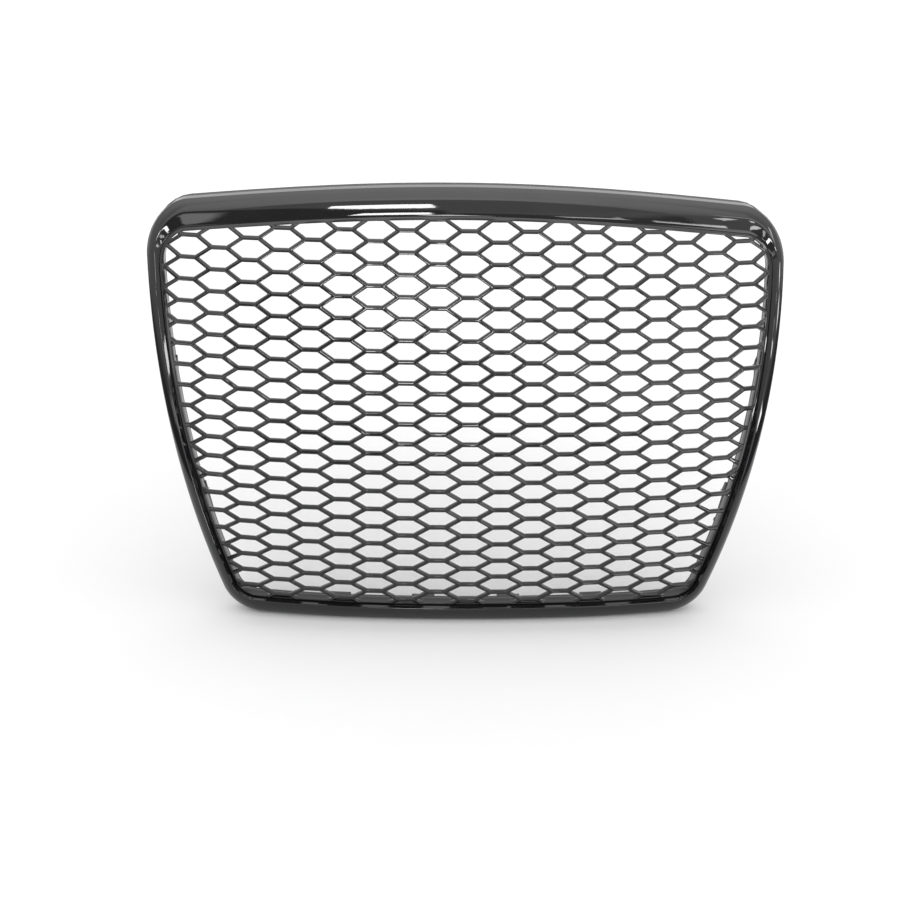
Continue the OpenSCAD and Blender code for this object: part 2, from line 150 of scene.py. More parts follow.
def outline(in_top, in_bottom, in_shoulder, in_chin, r_top, r_bottom, n=POINTS_ON):
    top = np.array([0.0, TOP_EDGE - in_top - TOP_ARC])
    bottom = np.array([0.0, in_bottom - BOTTOM_EDGE + BOTTOM_ARC])
    high = np.array([SHOULDER[0] - in_shoulder, SHOULDER[1]])
    low = np.array([CHIN[0] - in_chin, CHIN[1]])
    half = np.linalg.norm(high - low) / 2
    e = (high - low) / (2 * half)
    side = (high + low) / 2 + math.sqrt(SIDE_ARC ** 2 - half ** 2) * np.array([-e[1], e[0]])
    c1 = meeting_point(top, TOP_ARC - r_top, side, SIDE_ARC - r_top, -1)
    c2 = meeting_point(bottom, BOTTOM_ARC - r_bottom, side, SIDE_ARC - r_bottom, 1)
    turn = [heading(c1 - top), heading(c1 - side), heading(c2 - side), heading(c2 - bottom)]
    right = np.vstack([
        arc(top, TOP_ARC, math.pi / 2, turn[0], n["top"]),
        arc(c1, r_top, turn[0], turn[1], n["corner"]),
        arc(side, SIDE_ARC, turn[1], turn[2], n["side"]),
        arc(c2, r_bottom, turn[2], turn[3], n["corner"]),
        arc(bottom, BOTTOM_ARC, turn[3], -math.pi / 2, n["bottom"]),
        [[0.0, in_bottom - BOTTOM_EDGE]],
    ])
    return np.vstack([right, right[-2:0:-1] * [-1, 1]])


INSETS = {
    "outer": (0.03, 0.03, 0.05, 0.05, CORNERS[0], CORNERS[1]),
    "crest": (8.5, 18.0, 9.0, 12.5, CORNERS[0] - 8, CORNERS[1] - 14),
    "lip": (23.5, 19.5, 13.5, 15.0, CORNERS[0] - 15, CORNERS[1] - 17),
    "opening": (27.0, 22.0, 18.0, 18.5, CORNERS[0] - 19, CORNERS[1] - 20),
}
rails = {name: outline(*values) for name, values in INSETS.items()}
print("points round each outline:", len(rails["outer"]))

# %% [markdown]
# A moulded part has no knife edges, so a section is drawn as a loop of corners,
# each with its own fillet radius, and the fillets are turned into short arcs.
# The loop is drawn in two numbers: how far in from the outer edge, and how deep.
# The ring maker sweeps that loop round the outlines.

# %% Section and ring makers
RAIL_ORDER = ("outer", "crest", "lip", "opening")


def rail_distances(lines=rails):
    """How far in from the outer edge each outline lies, at every point round."""
    steps = [np.zeros(len(lines["outer"]))]
    for a, b in zip(RAIL_ORDER, RAIL_ORDER[1:]):
        steps.append(steps[-1] + np.linalg.norm(lines[b] - lines[a], axis=1))
    return dict(zip(RAIL_ORDER, steps))


def walk_in(s, lines=rails):
    """The x and z of the points that lie s in from the outer edge."""
    far = rail_distances(lines)
    out = np.zeros((len(s), 2))
    for k, (a, b) in enumerate(zip(RAIL_ORDER, RAIL_ORDER[1:])):
        first, last = k == 0, k == len(RAIL_ORDER) - 2
        use = (s >= far[a]) if not first else np.ones(len(s), bool)
        if not last:
            use &= s < far[b]
        t = (s - far[a]) / (far[b] - far[a])
        out[use] = (lines[a] + t[:, None] * (lines[b] - lines[a]))[use]
    return out


def filleted(corners, steps=4):
    """A closed loop of corners (s, depth, radius), with each corner turned into an arc.
    s and depth hold one number for every point round the ring."""
    loops = []
    m = len(corners)
    for k in range(m):
        s, d, radius = corners[k]
        here = np.stack([s, d], axis=-1)
        before = np.stack(corners[k - 1][:2], axis=-1) - here
        after = np.stack(corners[(k + 1) % m][:2], axis=-1) - here
        if radius == 0:
            loops.append(here)
            continue
        len_a = np.linalg.norm(before, axis=1)[:, None]
        len_b = np.linalg.norm(after, axis=1)[:, None]
        a, b = before / len_a, after / len_b
        half = np.arccos(np.clip((a * b).sum(axis=1), -1, 1))[:, None] / 2
        cut = np.minimum(radius / np.tan(half), 0.48 * np.minimum(len_a, len_b))
        r = cut * np.tan(half)
        centre = here + (a + b) / np.linalg.norm(a + b, axis=1)[:, None] * r / np.sin(half)
        start, end = here + a * cut - centre, here + b * cut - centre
        sweep = math.pi - 2 * half
        for i in range(steps + 1):
            t = i / steps
            mixed = start * np.sin((1 - t) * sweep) + end * np.sin(t * sweep)
            loops.append(centre + mixed / np.sin(sweep))
    return loops


def swept_ring(name, loops, laid=True):
    """A closed ring from section loops given as (s, depth) pairs all the way round."""
    n, m = len(rails["outer"]), len(loops)
    points = []
    for loop in loops:
        xz = walk_in(loop[:, 0])
        if laid:
            points.append(to_frame(xz[:, 0], loop[:, 1], xz[:, 1]))
        else:
            points.append(np.stack([xz[:, 0], loop[:, 1], xz[:, 1]], axis=-1) * MM)
    faces = []
    for j in range(m):
        for i in range(n):
            a, b = j * n + i, j * n + (i + 1) % n
            c, d = (j + 1) % m * n + i, (j + 1) % m * n + (i + 1) % n
            faces.append((a, b, d, c))
    mesh = bpy.data.meshes.new(name)
    mesh.from_pydata(np.vstack(points).tolist(), [], faces)
    mesh.validate()
    piece = bpy.data.objects.new(name, mesh)
    bpy.context.scene.collection.objects.link(piece)
    print(name, "has", len(faces), "faces")
    return piece


def smooth_shade(piece, angle=35.0):
    """Smooth shading that keeps the true corners sharp."""
    mesh = piece.data
    mesh.polygons.foreach_set("use_smooth", [True] * len(mesh.polygons))
    mesh.set_sharp_from_angle(angle=math.radians(angle))
    weights = piece.modifiers.new("even_normals", "WEIGHTED_NORMAL")
    weights.keep_sharp = True
    return piece


# %% [markdown]
# The surround is one deep moulding. Its face rolls over a soft crest and drops to
# a thin lip round the opening, and its back is a hollow channel. The front runs
# through a few control points joined by a smooth curve, so that reflections flow
# along it, while the lip and the back keep small moulded fillets.

# %% Surround frame
FRONT_CURVE = [("lip", 1.0, -2.5), ("lip", 0.86, -3.25), ("lip", 0.5, -5.4), ("lip", 0.12, -7.4),
               ("crest", 0.92, -7.55), ("crest", 0.5, -5.75), ("crest", 0.14, -2.0),
               ("crest", 0.0, 1.6)]
RETURN_DEPTH = 14.0
SHELL = 2.5
LIP_WALL = 2.2
LIP_BACK = 4.0
FRONT_STEPS = 4
far = rail_distances()


def between(rail, t):
    """Distance in from the outer edge: a fraction of the way up to an outline."""
    start = far[RAIL_ORDER[RAIL_ORDER.index(rail) - 1]]
    return start + t * (far[rail] - start)


def depth_all(value):
    return np.full(len(rails["outer"]), float(value))


def curve_through(points, steps=FRONT_STEPS):
    """A centripetal Catmull-Rom curve through section points, as a list of loops."""
    line = [2 * points[0] - points[1]] + points + [2 * points[-1] - points[-2]]
    loops = []
    for p0, p1, p2, p3 in zip(line, line[1:], line[2:], line[3:]):
        knots = [np.zeros(len(p0))[:, None]]
        for a, b in ((p0, p1), (p1, p2), (p2, p3)):
            knots.append(knots[-1] + np.sqrt(np.linalg.norm(b - a, axis=1))[:, None])
        k0, k1, k2, k3 = knots
        for i in range(steps):
            t = k1 + (k2 - k1) * i / steps
            a1 = (k1 - t) / (k1 - k0) * p0 + (t - k0) / (k1 - k0) * p1
            a2 = (k2 - t) / (k2 - k1) * p1 + (t - k1) / (k2 - k1) * p2
            a3 = (k3 - t) / (k3 - k2) * p2 + (t - k2) / (k3 - k2) * p3
            b1 = (k2 - t) / (k2 - k0) * a1 + (t - k0) / (k2 - k0) * a2
            b2 = (k3 - t) / (k3 - k1) * a2 + (t - k1) / (k3 - k1) * a3
            loops.append((k2 - t) / (k2 - k1) * b1 + (t - k1) / (k2 - k1) * b2)
    loops.append(points[-1])
    return loops


def surround_loops():
    lip_in = far["lip"]
    front = [np.stack([between(rail, t), depth_all(d)], axis=-1) for rail, t, d in FRONT_CURVE]
    lip_edge = filleted([
        (lip_in - LIP_WALL, depth_all(LIP_BACK), 0.3),
        (lip_in, depth_all(LIP_BACK), 0.4),
        (lip_in, depth_all(-2.1), 0.45),
        (between("lip", 0.86), depth_all(-3.25), 0),
        (between("crest", 0.5), depth_all(20.0), 0),
    ])
    lip_edge = lip_edge[:15]
    back = filleted([
        (far["outer"], depth_all(1.6), 0),
        (far["outer"], depth_all(RETURN_DEPTH), 0.5),
        (far["outer"] + SHELL, depth_all(RETURN_DEPTH), 0.4),
        (far["outer"] + SHELL, depth_all(2.5), 1.5),
        (between("crest", 0.42), depth_all(-1.8), 1.0),
        (far["crest"] - 1.5, depth_all(-5.0), 1.0),
        (lip_in - LIP_WALL, depth_all(0.0), 0.6),
        (lip_in - LIP_WALL, depth_all(LIP_BACK), 0),
    ], steps=3)[1:-1]
    return back + lip_edge + curve_through(front[1:])


surround = swept_ring("surround_shell", surround_loops())

# %% [markdown]
# The honeycomb insert is one moulding: a rim that sits behind the lip, a flange
# that the carrier clamps, and a net of bars between flattened six-sided cells.
# The net follows a rule, so Geometry Nodes make it. One cell's wall is modelled with
# rounded edges and corners, and reaches out to the middle of each bar.
# The node tree repeats it on a staggered lattice, welds neighbours along the bar
# middles, closes the outer edge, trims the net to the opening, joins it to the rim
# and only then bends everything onto the face surface.

# %% One cell of the honeycomb
COLUMN_PITCH = 32.0
ROW_PITCH = 18.4
CELL_FLAT = 16.0
BAR_WIDTH = 3.2
BAR_DEPTH = 5.5
BAR_CROWN = 0.35
EDGE_RADIUS = 0.75
CORNER_RADIUS = 0.9
CORNER_STEPS = 2
EDGE_STEPS = 3


def hexagon(offset):
    """Corners of a cell in x and z: the bar middle lines moved in by an offset."""
    run, rise = COLUMN_PITCH - CELL_FLAT, ROW_PITCH / 2
    tip = CELL_FLAT / 2 + run - offset * math.hypot(run, rise) / rise
    half_z = rise - offset
    flat = tip - half_z * run / rise
    return [Vector((tip, 0)), Vector((flat, half_z)), Vector((-flat, half_z)),
            Vector((-tip, 0)), Vector((-flat, -half_z)), Vector((flat, -half_z))]


def rounded_corners(corners, radius, steps):
    """Each corner as a list of points along its fillet."""
    out = []
    for k, here in enumerate(corners):
        a = (corners[k - 1] - here).normalized()
        b = (corners[(k + 1) % 6] - here).normalized()
        half = a.angle(b) / 2
        cut = radius / math.tan(half)
        centre = here + (a + b).normalized() * radius / math.sin(half)
        start, end = here + a * cut - centre, here + b * cut - centre
        sweep = math.pi - 2 * half
        points = []
        for i in range(steps + 1):
            t = i / steps
            mixed = start * math.sin((1 - t) * sweep) + end * math.sin(t * sweep)
            points.append(centre + mixed / math.sin(sweep))
        out.append(points)
    return out


def cell_wall():
    """The wall of one cell, flat on the lattice, as a mesh in metres."""
    half_w, half_d = BAR_WIDTH / 2, BAR_DEPTH / 2
    quarter = [math.pi / 2 * i / EDGE_STEPS for i in range(EDGE_STEPS + 1)]
    front = -half_d + BAR_CROWN
    section = [(half_w - EDGE_RADIUS * (1 - math.sin(a)), front + EDGE_RADIUS * (1 - math.cos(a)))
               for a in quarter]
    section += [(half_w - EDGE_RADIUS * (1 - math.cos(a)), half_d - EDGE_RADIUS * (1 - math.sin(a)))
                for a in quarter]
    bm = bmesh.new()
    middles = [[bm.verts.new((p.x * MM, d * MM, p.y * MM)) for p in hexagon(0)]
               for d in (-half_d, half_d)]
    rings = []
    for offset, depth in section:
        spread = CORNER_RADIUS + (half_w - offset) * 0.6
        groups = rounded_corners(hexagon(offset), spread, CORNER_STEPS)
        rings.append([[bm.verts.new((p.x * MM, depth * MM, p.y * MM)) for p in g] for g in groups])

    def cap(middle_ring, groups, flip):
        for k in range(6):
            nxt = (k + 1) % 6
            fans = [(middle_ring[k], groups[k][i + 1], groups[k][i]) for i in range(CORNER_STEPS)]
            fans.append((middle_ring[k], middle_ring[nxt], groups[nxt][0], groups[k][-1]))
            for face in fans:
                bm.faces.new(face[::-1] if flip else face)

    cap(middles[0], rings[0], False)
    cap(middles[1], rings[-1], True)
    for lower, upper in zip(rings, rings[1:]):
        flat_a = [v for g in lower for v in g]
        flat_b = [v for g in upper for v in g]
        count = len(flat_a)
        for i in range(count):
            j = (i + 1) % count
            bm.faces.new((flat_a[i], flat_a[j], flat_b[j], flat_b[i]))
    mesh = bpy.data.meshes.new("cell_wall")
    bm.to_mesh(mesh)
    bm.free()
    return mesh


def helper_object(name, mesh):
    """An object that only feeds a node tree, and is deleted when its work is done."""
    helper = bpy.data.objects.new(name, mesh)
    bpy.context.scene.collection.objects.link(helper)
    return helper


cell = helper_object("cell_wall", cell_wall())
print("faces in one cell's wall:", len(cell.data.polygons))

# %% [markdown]
# The rim is swept like the surround, but left flat, because the node tree bends
# the whole insert at the end. The trimming block is the opening's own outline,
# a little larger than the rim's inner wall, so that every bar runs into the wall.

# %% The rim and the trimming block
RIM_FRONT = -2.0
RIM_BACK = 10.0
RIM_FLANGE = 2.0
RIM_WALL = 1.8
LIP_GAP = 0.3


def rim_loops():
    opening_in, lip_in = far["opening"], far["lip"]
    return filleted([
        (lip_in + LIP_GAP, depth_all(RIM_FRONT), 0.35),
        (lip_in + LIP_GAP, depth_all(RIM_FRONT + 2), 0.3),
        (opening_in - RIM_WALL, depth_all(RIM_FRONT + 2), 0.5),
        (opening_in - RIM_WALL, depth_all(RIM_BACK - RIM_FLANGE), 0.5),
        (depth_all(4.0), depth_all(RIM_BACK - RIM_FLANGE), 0.3),
        (depth_all(4.0), depth_all(RIM_BACK), 0.3),
        (opening_in, depth_all(RIM_BACK), 0.4),
        (opening_in, depth_all(RIM_FRONT), 0.5),
    ], steps=3)


insert = swept_ring("honeycomb_net", rim_loops(), laid=False)


def trimming_block(reach=0.5):
    line = walk_in(far["opening"] - reach) * MM
    bm = bmesh.new()
    front = [bm.verts.new((x, -20 * MM, z)) for x, z in line]
    back = [bm.verts.new((x, 20 * MM, z)) for x, z in line]
    bm.faces.new(front)
    bm.faces.new(back[::-1])
    count = len(line)
    for i in range(count):
        j = (i + 1) % count
        bm.faces.new((front[j], front[i], back[i], back[j]))
    bmesh.ops.recalc_face_normals(bm, faces=bm.faces)
    mesh = bpy.data.meshes.new("trimming_block")
    bm.to_mesh(mesh)
    bm.free()
    return mesh


block = helper_object("trimming_block", trimming_block())

# %% [markdown]
# Node trees are easier to read when a few short helpers add the nodes. Each
# helper below returns the output socket of the node that it adds.

# %% Node helpers


def node_tree(name, inputs):
    """A new Geometry Nodes tree with a geometry input and the given named inputs."""
    tree = bpy.data.node_groups.new(name, "GeometryNodeTree")
    tree.is_modifier = True
    tree.interface.new_socket("Geometry", in_out="INPUT", socket_type="NodeSocketGeometry")
    for label, kind, value in inputs:
        socket = tree.interface.new_socket(label, in_out="INPUT", socket_type="NodeSocket" + kind)
        if value is not None:
            socket.default_value = value
    tree.interface.new_socket("Geometry", in_out="OUTPUT", socket_type="NodeSocketGeometry")
    return tree


def add(tree, kind, **settings):
    node = tree.nodes.new(kind)
    for key, value in settings.items():
        setattr(node, key, value)
    return node


def feed(tree, socket, value):
    """Links a socket to another socket, or sets it to a plain value."""
    if isinstance(value, bpy.types.NodeSocket):
        tree.links.new(value, socket)
    else:
        socket.default_value = value


def calc(tree, operation, a, b=0.0, c=0.0):
    node = add(tree, "ShaderNodeMath", operation=operation)
    for socket, value in zip(node.inputs, (a, b, c)):
        feed(tree, socket, value)
    return node.outputs[0]


def set_inputs(modifier, tree, values):
    """Sets a modifier's inputs by each socket's identifier."""
    for item in tree.interface.items_tree:
        if item.item_type == "SOCKET" and item.in_out == "INPUT" and item.name in values:
            modifier[item.identifier] = values[item.name]


def settle(piece):
    """Turns a piece's node tree into plain mesh, and takes the modifier off."""
    evaluated = piece.evaluated_get(bpy.context.evaluated_depsgraph_get())
    mesh = bpy.data.meshes.new_from_object(evaluated)
    mesh.name = piece.name
    piece.modifiers.clear()
    piece.data = mesh
    return piece


# %% [markdown]
# The tree below is the honeycomb's recipe. Every size is a named input, so the
# same tree could make a finer mesh, a deeper bar or another face.

# %% The honeycomb tree
HONEYCOMB_INPUTS = [
    ("Cell", "Object", None), ("Trimming block", "Object", None),
    ("Columns each side", "Int", 10), ("Rows each side", "Int", 21),
    ("Column pitch", "Float", COLUMN_PITCH * MM), ("Row pitch", "Float", ROW_PITCH * MM),
    ("Bar depth", "Float", BAR_DEPTH * MM), ("Weld", "Float", 0.00002),
    ("Bow square", "Float", BOW[0] * MM), ("Bow fourth", "Float", BOW[1] * MM),
    ("Lean", "Float", LEAN[0] * MM), ("Lean square", "Float", LEAN[1] * MM),
    ("Lean cube", "Float", LEAN[2] * MM), ("Twist", "Float", TWIST * MM),
    ("Middle", "Vector", None), ("Sharp angle", "Float", math.radians(38)),
    ("Material", "Material", None),
]


def honeycomb_tree():
    tree = node_tree("honeycomb", HONEYCOMB_INPUTS)
    given = add(tree, "NodeGroupInput").outputs
    link = tree.links.new

    # a staggered lattice of points
    across = calc(tree, "MULTIPLY_ADD", given["Columns each side"], 2.0, 1.0)
    up = calc(tree, "MULTIPLY_ADD", given["Rows each side"], 2.0, 1.0)
    number = add(tree, "GeometryNodeInputIndex").outputs[0]
    column = calc(tree, "MODULO", number, across)
    column = calc(tree, "SUBTRACT", column, given["Columns each side"])
    row = calc(tree, "FLOOR", calc(tree, "DIVIDE", calc(tree, "ADD", number, 0.5), across))
    row = calc(tree, "SUBTRACT", row, given["Rows each side"])
    place = add(tree, "ShaderNodeCombineXYZ")
    link(calc(tree, "MULTIPLY", column, given["Column pitch"]), place.inputs["X"])
    half_pitch = calc(tree, "MULTIPLY", given["Row pitch"], 0.5)
    link(calc(tree, "MULTIPLY", row, half_pitch), place.inputs["Z"])
    points = add(tree, "GeometryNodePoints")
    link(calc(tree, "MULTIPLY", across, up), points.inputs["Count"])
    link(place.outputs[0], points.inputs["Position"])
    odd = calc(tree, "MODULO", calc(tree, "ABSOLUTE", calc(tree, "ADD", column, row)), 2.0)
    stagger = add(tree, "GeometryNodeDeleteGeometry", domain="POINT")
    link(points.outputs[0], stagger.inputs["Geometry"])
    link(calc(tree, "GREATER_THAN", odd, 0.5), stagger.inputs["Selection"])

    # one cell wall on each point, welded along the middles of the bars
    unit = add(tree, "GeometryNodeObjectInfo")
    link(given["Cell"], unit.inputs["Object"])
    repeat = add(tree, "GeometryNodeInstanceOnPoints")
    link(stagger.outputs[0], repeat.inputs["Points"])
    link(unit.outputs["Geometry"], repeat.inputs["Instance"])
    real = add(tree, "GeometryNodeRealizeInstances")
    link(repeat.outputs[0], real.inputs[0])
    weld = add(tree, "GeometryNodeMergeByDistance")
    link(real.outputs[0], weld.inputs["Geometry"])
    link(given["Weld"], weld.inputs["Distance"])

    # the net's open outer edge is closed from its front to its back
    neighbours = add(tree, "GeometryNodeInputMeshEdgeNeighbors").outputs[0]
    where = add(tree, "GeometryNodeInputPosition").outputs[0]
    depth = add(tree, "ShaderNodeSeparateXYZ")
    link(where, depth.inputs[0])
    open_edge = calc(tree, "LESS_THAN", neighbours, 1.5)
    front_edge = calc(tree, "MULTIPLY", open_edge, calc(tree, "LESS_THAN", depth.outputs["Y"], 0.0))
    straight_back = add(tree, "ShaderNodeCombineXYZ")
    link(given["Bar depth"], straight_back.inputs["Y"])
    close = add(tree, "GeometryNodeExtrudeMesh", mode="EDGES")
    link(weld.outputs[0], close.inputs["Mesh"])
    link(front_edge, close.inputs["Selection"])
    link(straight_back.outputs[0], close.inputs["Offset"])
    close.inputs["Offset Scale"].default_value = 1.0
    sealed = add(tree, "GeometryNodeMergeByDistance")
    link(close.outputs["Mesh"], sealed.inputs["Geometry"])
    link(given["Weld"], sealed.inputs["Distance"])

    # trimmed to the opening, then joined to the rim
    cutter = add(tree, "GeometryNodeObjectInfo")
    link(given["Trimming block"], cutter.inputs["Object"])
    trim = add(tree, "GeometryNodeMeshBoolean", operation="INTERSECT", solver="MANIFOLD")
    link(sealed.outputs[0], trim.inputs["Mesh 2"])
    link(cutter.outputs["Geometry"], trim.inputs["Mesh 2"])
    join = add(tree, "GeometryNodeMeshBoolean", operation="UNION", solver="MANIFOLD")
    link(trim.outputs["Mesh"], join.inputs["Mesh 2"])
    link(given["Geometry"], join.inputs["Mesh 2"])

    # bent onto the face surface
    flat = add(tree, "ShaderNodeSeparateXYZ")
    link(where, flat.inputs[0])
    u = calc(tree, "DIVIDE", flat.outputs["X"], BOW_AT * MM)
    v = calc(tree, "DIVIDE", flat.outputs["Z"], LEAN_AT * MM)
    u2 = calc(tree, "MULTIPLY", u, u)
    bow = calc(tree, "MULTIPLY", given["Bow fourth"], u2)
    bow = calc(tree, "MULTIPLY", calc(tree, "ADD", bow, given["Bow square"]), u2)
    lean = calc(tree, "MULTIPLY_ADD", given["Lean cube"], v, given["Lean square"])
    lean = calc(tree, "MULTIPLY_ADD", lean, v, given["Lean"])
    lean = calc(tree, "SUBTRACT", lean, calc(tree, "MULTIPLY", given["Twist"], u2))
    bend = add(tree, "ShaderNodeCombineXYZ")
    link(calc(tree, "MULTIPLY_ADD", lean, v, bow), bend.inputs["Y"])
    shift = add(tree, "ShaderNodeVectorMath", operation="ADD")
    link(bend.outputs[0], shift.inputs[0])
    link(given["Middle"], shift.inputs[1])
    lay = add(tree, "GeometryNodeSetPosition")
    link(join.outputs["Mesh"], lay.inputs["Geometry"])
    link(shift.outputs[0], lay.inputs["Offset"])

    # smooth but for its true corners
    smooth = add(tree, "GeometryNodeSetShadeSmooth", domain="FACE")
    link(lay.outputs[0], smooth.inputs["Geometry"])
    fold = add(tree, "GeometryNodeInputMeshEdgeAngle").outputs["Unsigned Angle"]
    crisp = add(tree, "GeometryNodeSetShadeSmooth", domain="EDGE")
    link(smooth.outputs[0], crisp.inputs["Geometry"])
    link(calc(tree, "GREATER_THAN", fold, given["Sharp angle"]), crisp.inputs["Selection"])
    crisp.inputs["Shade Smooth"].default_value = False
    whole = add(tree, "GeometryNodeRealizeInstances")
    link(crisp.outputs[0], whole.inputs[0])
    paint = add(tree, "GeometryNodeSetMaterial")
    link(whole.outputs[0], paint.inputs["Geometry"])
    link(given["Material"], paint.inputs["Material"])
    link(paint.outputs[0], add(tree, "NodeGroupOutput").inputs[0])
    return tree


honeycomb = honeycomb_tree()
mesh_black = bpy.data.materials.new("gloss_mesh_black")
net = insert.modifiers.new("honeycomb", "NODES")
net.node_group = honeycomb
set_inputs(net, honeycomb, {
    "Cell": cell, "Trimming block": block, "Middle": tuple(middle), "Material": mesh_black,
})
settle(insert)
print("honeycomb insert:", len(insert.data.polygons), "faces")

# %% [markdown]
# The camera stands in front of the grille, a little to its left and above it, and
# looks down at it. A slight roll keeps the picture as a hand-held camera would.
# The floor lies at the grille's lowest point and runs far enough back to fill
# the picture.

# %% Camera and floor
CAMERA_AT = Vector((-0.05773, -1.31725, 0.27886))
CAMERA_TURN = math.radians(2.386)
CAMERA_DOWN = math.radians(24.447)
CAMERA_ROLL = math.radians(1.25)
LENS_MM = 47.04
SENSOR_MM = 36.0
FARTHEST_SEEN = 200.0
FLOOR_REACH = 40.0


def camera_axes(turn, down, roll):
    level = math.cos(down)
    ahead = Vector((math.sin(turn) * level, math.cos(turn) * level, -math.sin(down)))
    right = Vector((math.cos(turn), -math.sin(turn), 0.0))
    up = right.cross(ahead)
    rolled_right = math.cos(roll) * right + math.sin(roll) * up
    rolled_up = -math.sin(roll) * right + math.cos(roll) * up
    return rolled_right, rolled_up, ahead


camera_data = bpy.data.cameras.new("camera")
camera_data.lens = LENS_MM
camera_data.sensor_width = SENSOR_MM
camera_data.clip_end = FARTHEST_SEEN
camera = bpy.data.objects.new("camera", camera_data)
bpy.context.scene.collection.objects.link(camera)
right, up, ahead = camera_axes(CAMERA_TURN, CAMERA_DOWN, CAMERA_ROLL)
turned = Matrix((right, up, -ahead)).transposed().to_4x4()
camera.matrix_world = Matrix.Translation(CAMERA_AT) @ turned
bpy.context.scene.camera = camera

floor_z = cad_box[0][2]
floor_mesh = bpy.data.meshes.new("floor")
corners = [(-1, -1), (1, -1), (1, 1), (-1, 1)]
floor_mesh.from_pydata([(x * FLOOR_REACH, y * FLOOR_REACH, floor_z) for x, y in corners], [],
                       [(0, 1, 2, 3)])
floor = bpy.data.objects.new("floor", floor_mesh)
bpy.context.scene.collection.objects.link(floor)
print("floor at", round(floor_z, 4), "m")

# %% [markdown]
# A gloss black surface shows hardly any colour of its own. What the eye sees is
# the studio reflected in it, so the light is part of the finish. The room is drawn
# on the world as a photographer would set it up: a wide soft box overhead, two
# upright soft boxes in front, darker walls, a pale backdrop, and a few narrow strip
# lamps that draw the thin white streaks. Each light is a soft-edged bar between two
# directions, given as degrees round (0 is the front, 90 the right) and degrees up.

# %% Shader helpers
def shader_group(name, inputs, outputs):
    """A reusable shader node group with named inputs and outputs."""
    group = bpy.data.node_groups.new(name, "ShaderNodeTree")
    for label, kind, value in inputs:
        socket = group.interface.new_socket(label, in_out="INPUT", socket_type="NodeSocket" + kind)
        if value is not None:
            socket.default_value = value
    for label, kind in outputs:
        group.interface.new_socket(label, in_out="OUTPUT", socket_type="NodeSocket" + kind)
    return group, add(group, "NodeGroupInput").outputs, add(group, "NodeGroupOutput").inputs


def use(tree, group, **values):
    """Places a group in a tree and feeds its inputs by name, with _ for a space."""
    node = add(tree, "ShaderNodeGroup", node_tree=group)
    for label, value in values.items():
        feed(tree, node.inputs[label.replace("_", " ")], value)
    return node.outputs


def ramp(tree, value, stops):
    """Values along a line, as a colour ramp of greys or colours."""
    node = add(tree, "ShaderNodeValToRGB")
    elements = node.color_ramp.elements
    while len(elements) < len(stops):
        elements.new(1.0)
    for element, (place, shade) in zip(elements, stops):
        element.position = place
        element.color = (*shade, 1.0) if isinstance(shade, tuple) else (shade, shade, shade, 1.0)
    feed(tree, node.inputs["Fac"], value)
    return node.outputs["Color"]


def soft_step(tree, value, low, high, start=0.0, end=1.0):
    """A smooth rise from start to end while the value goes from low to high."""
    node = add(tree, "ShaderNodeMapRange", interpolation_type="SMOOTHSTEP")
    labels = ("Value", "From Min", "From Max", "To Min", "To Max")
    for label, item in zip(labels, (value, low, high, start, end)):
        feed(tree, node.inputs[label], item)
    return node.outputs["Result"]


print("shader helpers ready")

# %% [markdown]
# Every lamp in the room is the same thing with other sizes: a bar of light with a
# length, a width and a soft edge, like a soft box or a strip lamp seen from the
# grille. It is laid over whatever light is already there.

# %% One soft-edged light in the room
def soft_light_group():
    sizes = [(label, "Float", 0.0) for label in (
        "Under", "Round", "Up", "Middle round", "Middle up", "Along round", "Along up",
        "Half length", "Half width", "Soft", "Light")]
    group, given, result = shader_group("soft_light", sizes, [("Light", "Float")])
    across = calc(group, "SUBTRACT", given["Round"], given["Middle round"])
    above = calc(group, "SUBTRACT", given["Up"], given["Middle up"])
    along = calc(group, "MULTIPLY", across, given["Along round"])
    along = calc(group, "MULTIPLY_ADD", above, given["Along up"], along)
    side = calc(group, "MULTIPLY", across, given["Along up"])
    side = calc(group, "SUBTRACT", calc(group, "MULTIPLY", above, given["Along round"]), side)
    mask = None
    for distance, half in ((along, given["Half length"]), (side, given["Half width"])):
        start = calc(group, "SUBTRACT", half, given["Soft"])
        end = calc(group, "ADD", half, given["Soft"])
        edge = soft_step(group, calc(group, "ABSOLUTE", distance), start, end, 1.0, 0.0)
        mask = edge if mask is None else calc(group, "MULTIPLY", mask, edge)
    step = calc(group, "SUBTRACT", given["Light"], given["Under"])
    feed(group, result["Light"], calc(group, "MULTIPLY_ADD", step, mask, given["Under"]))
    return group


soft_light = soft_light_group()

# %% Studio light
BRIGHTEST = 4.0
HALF_TURN = 180
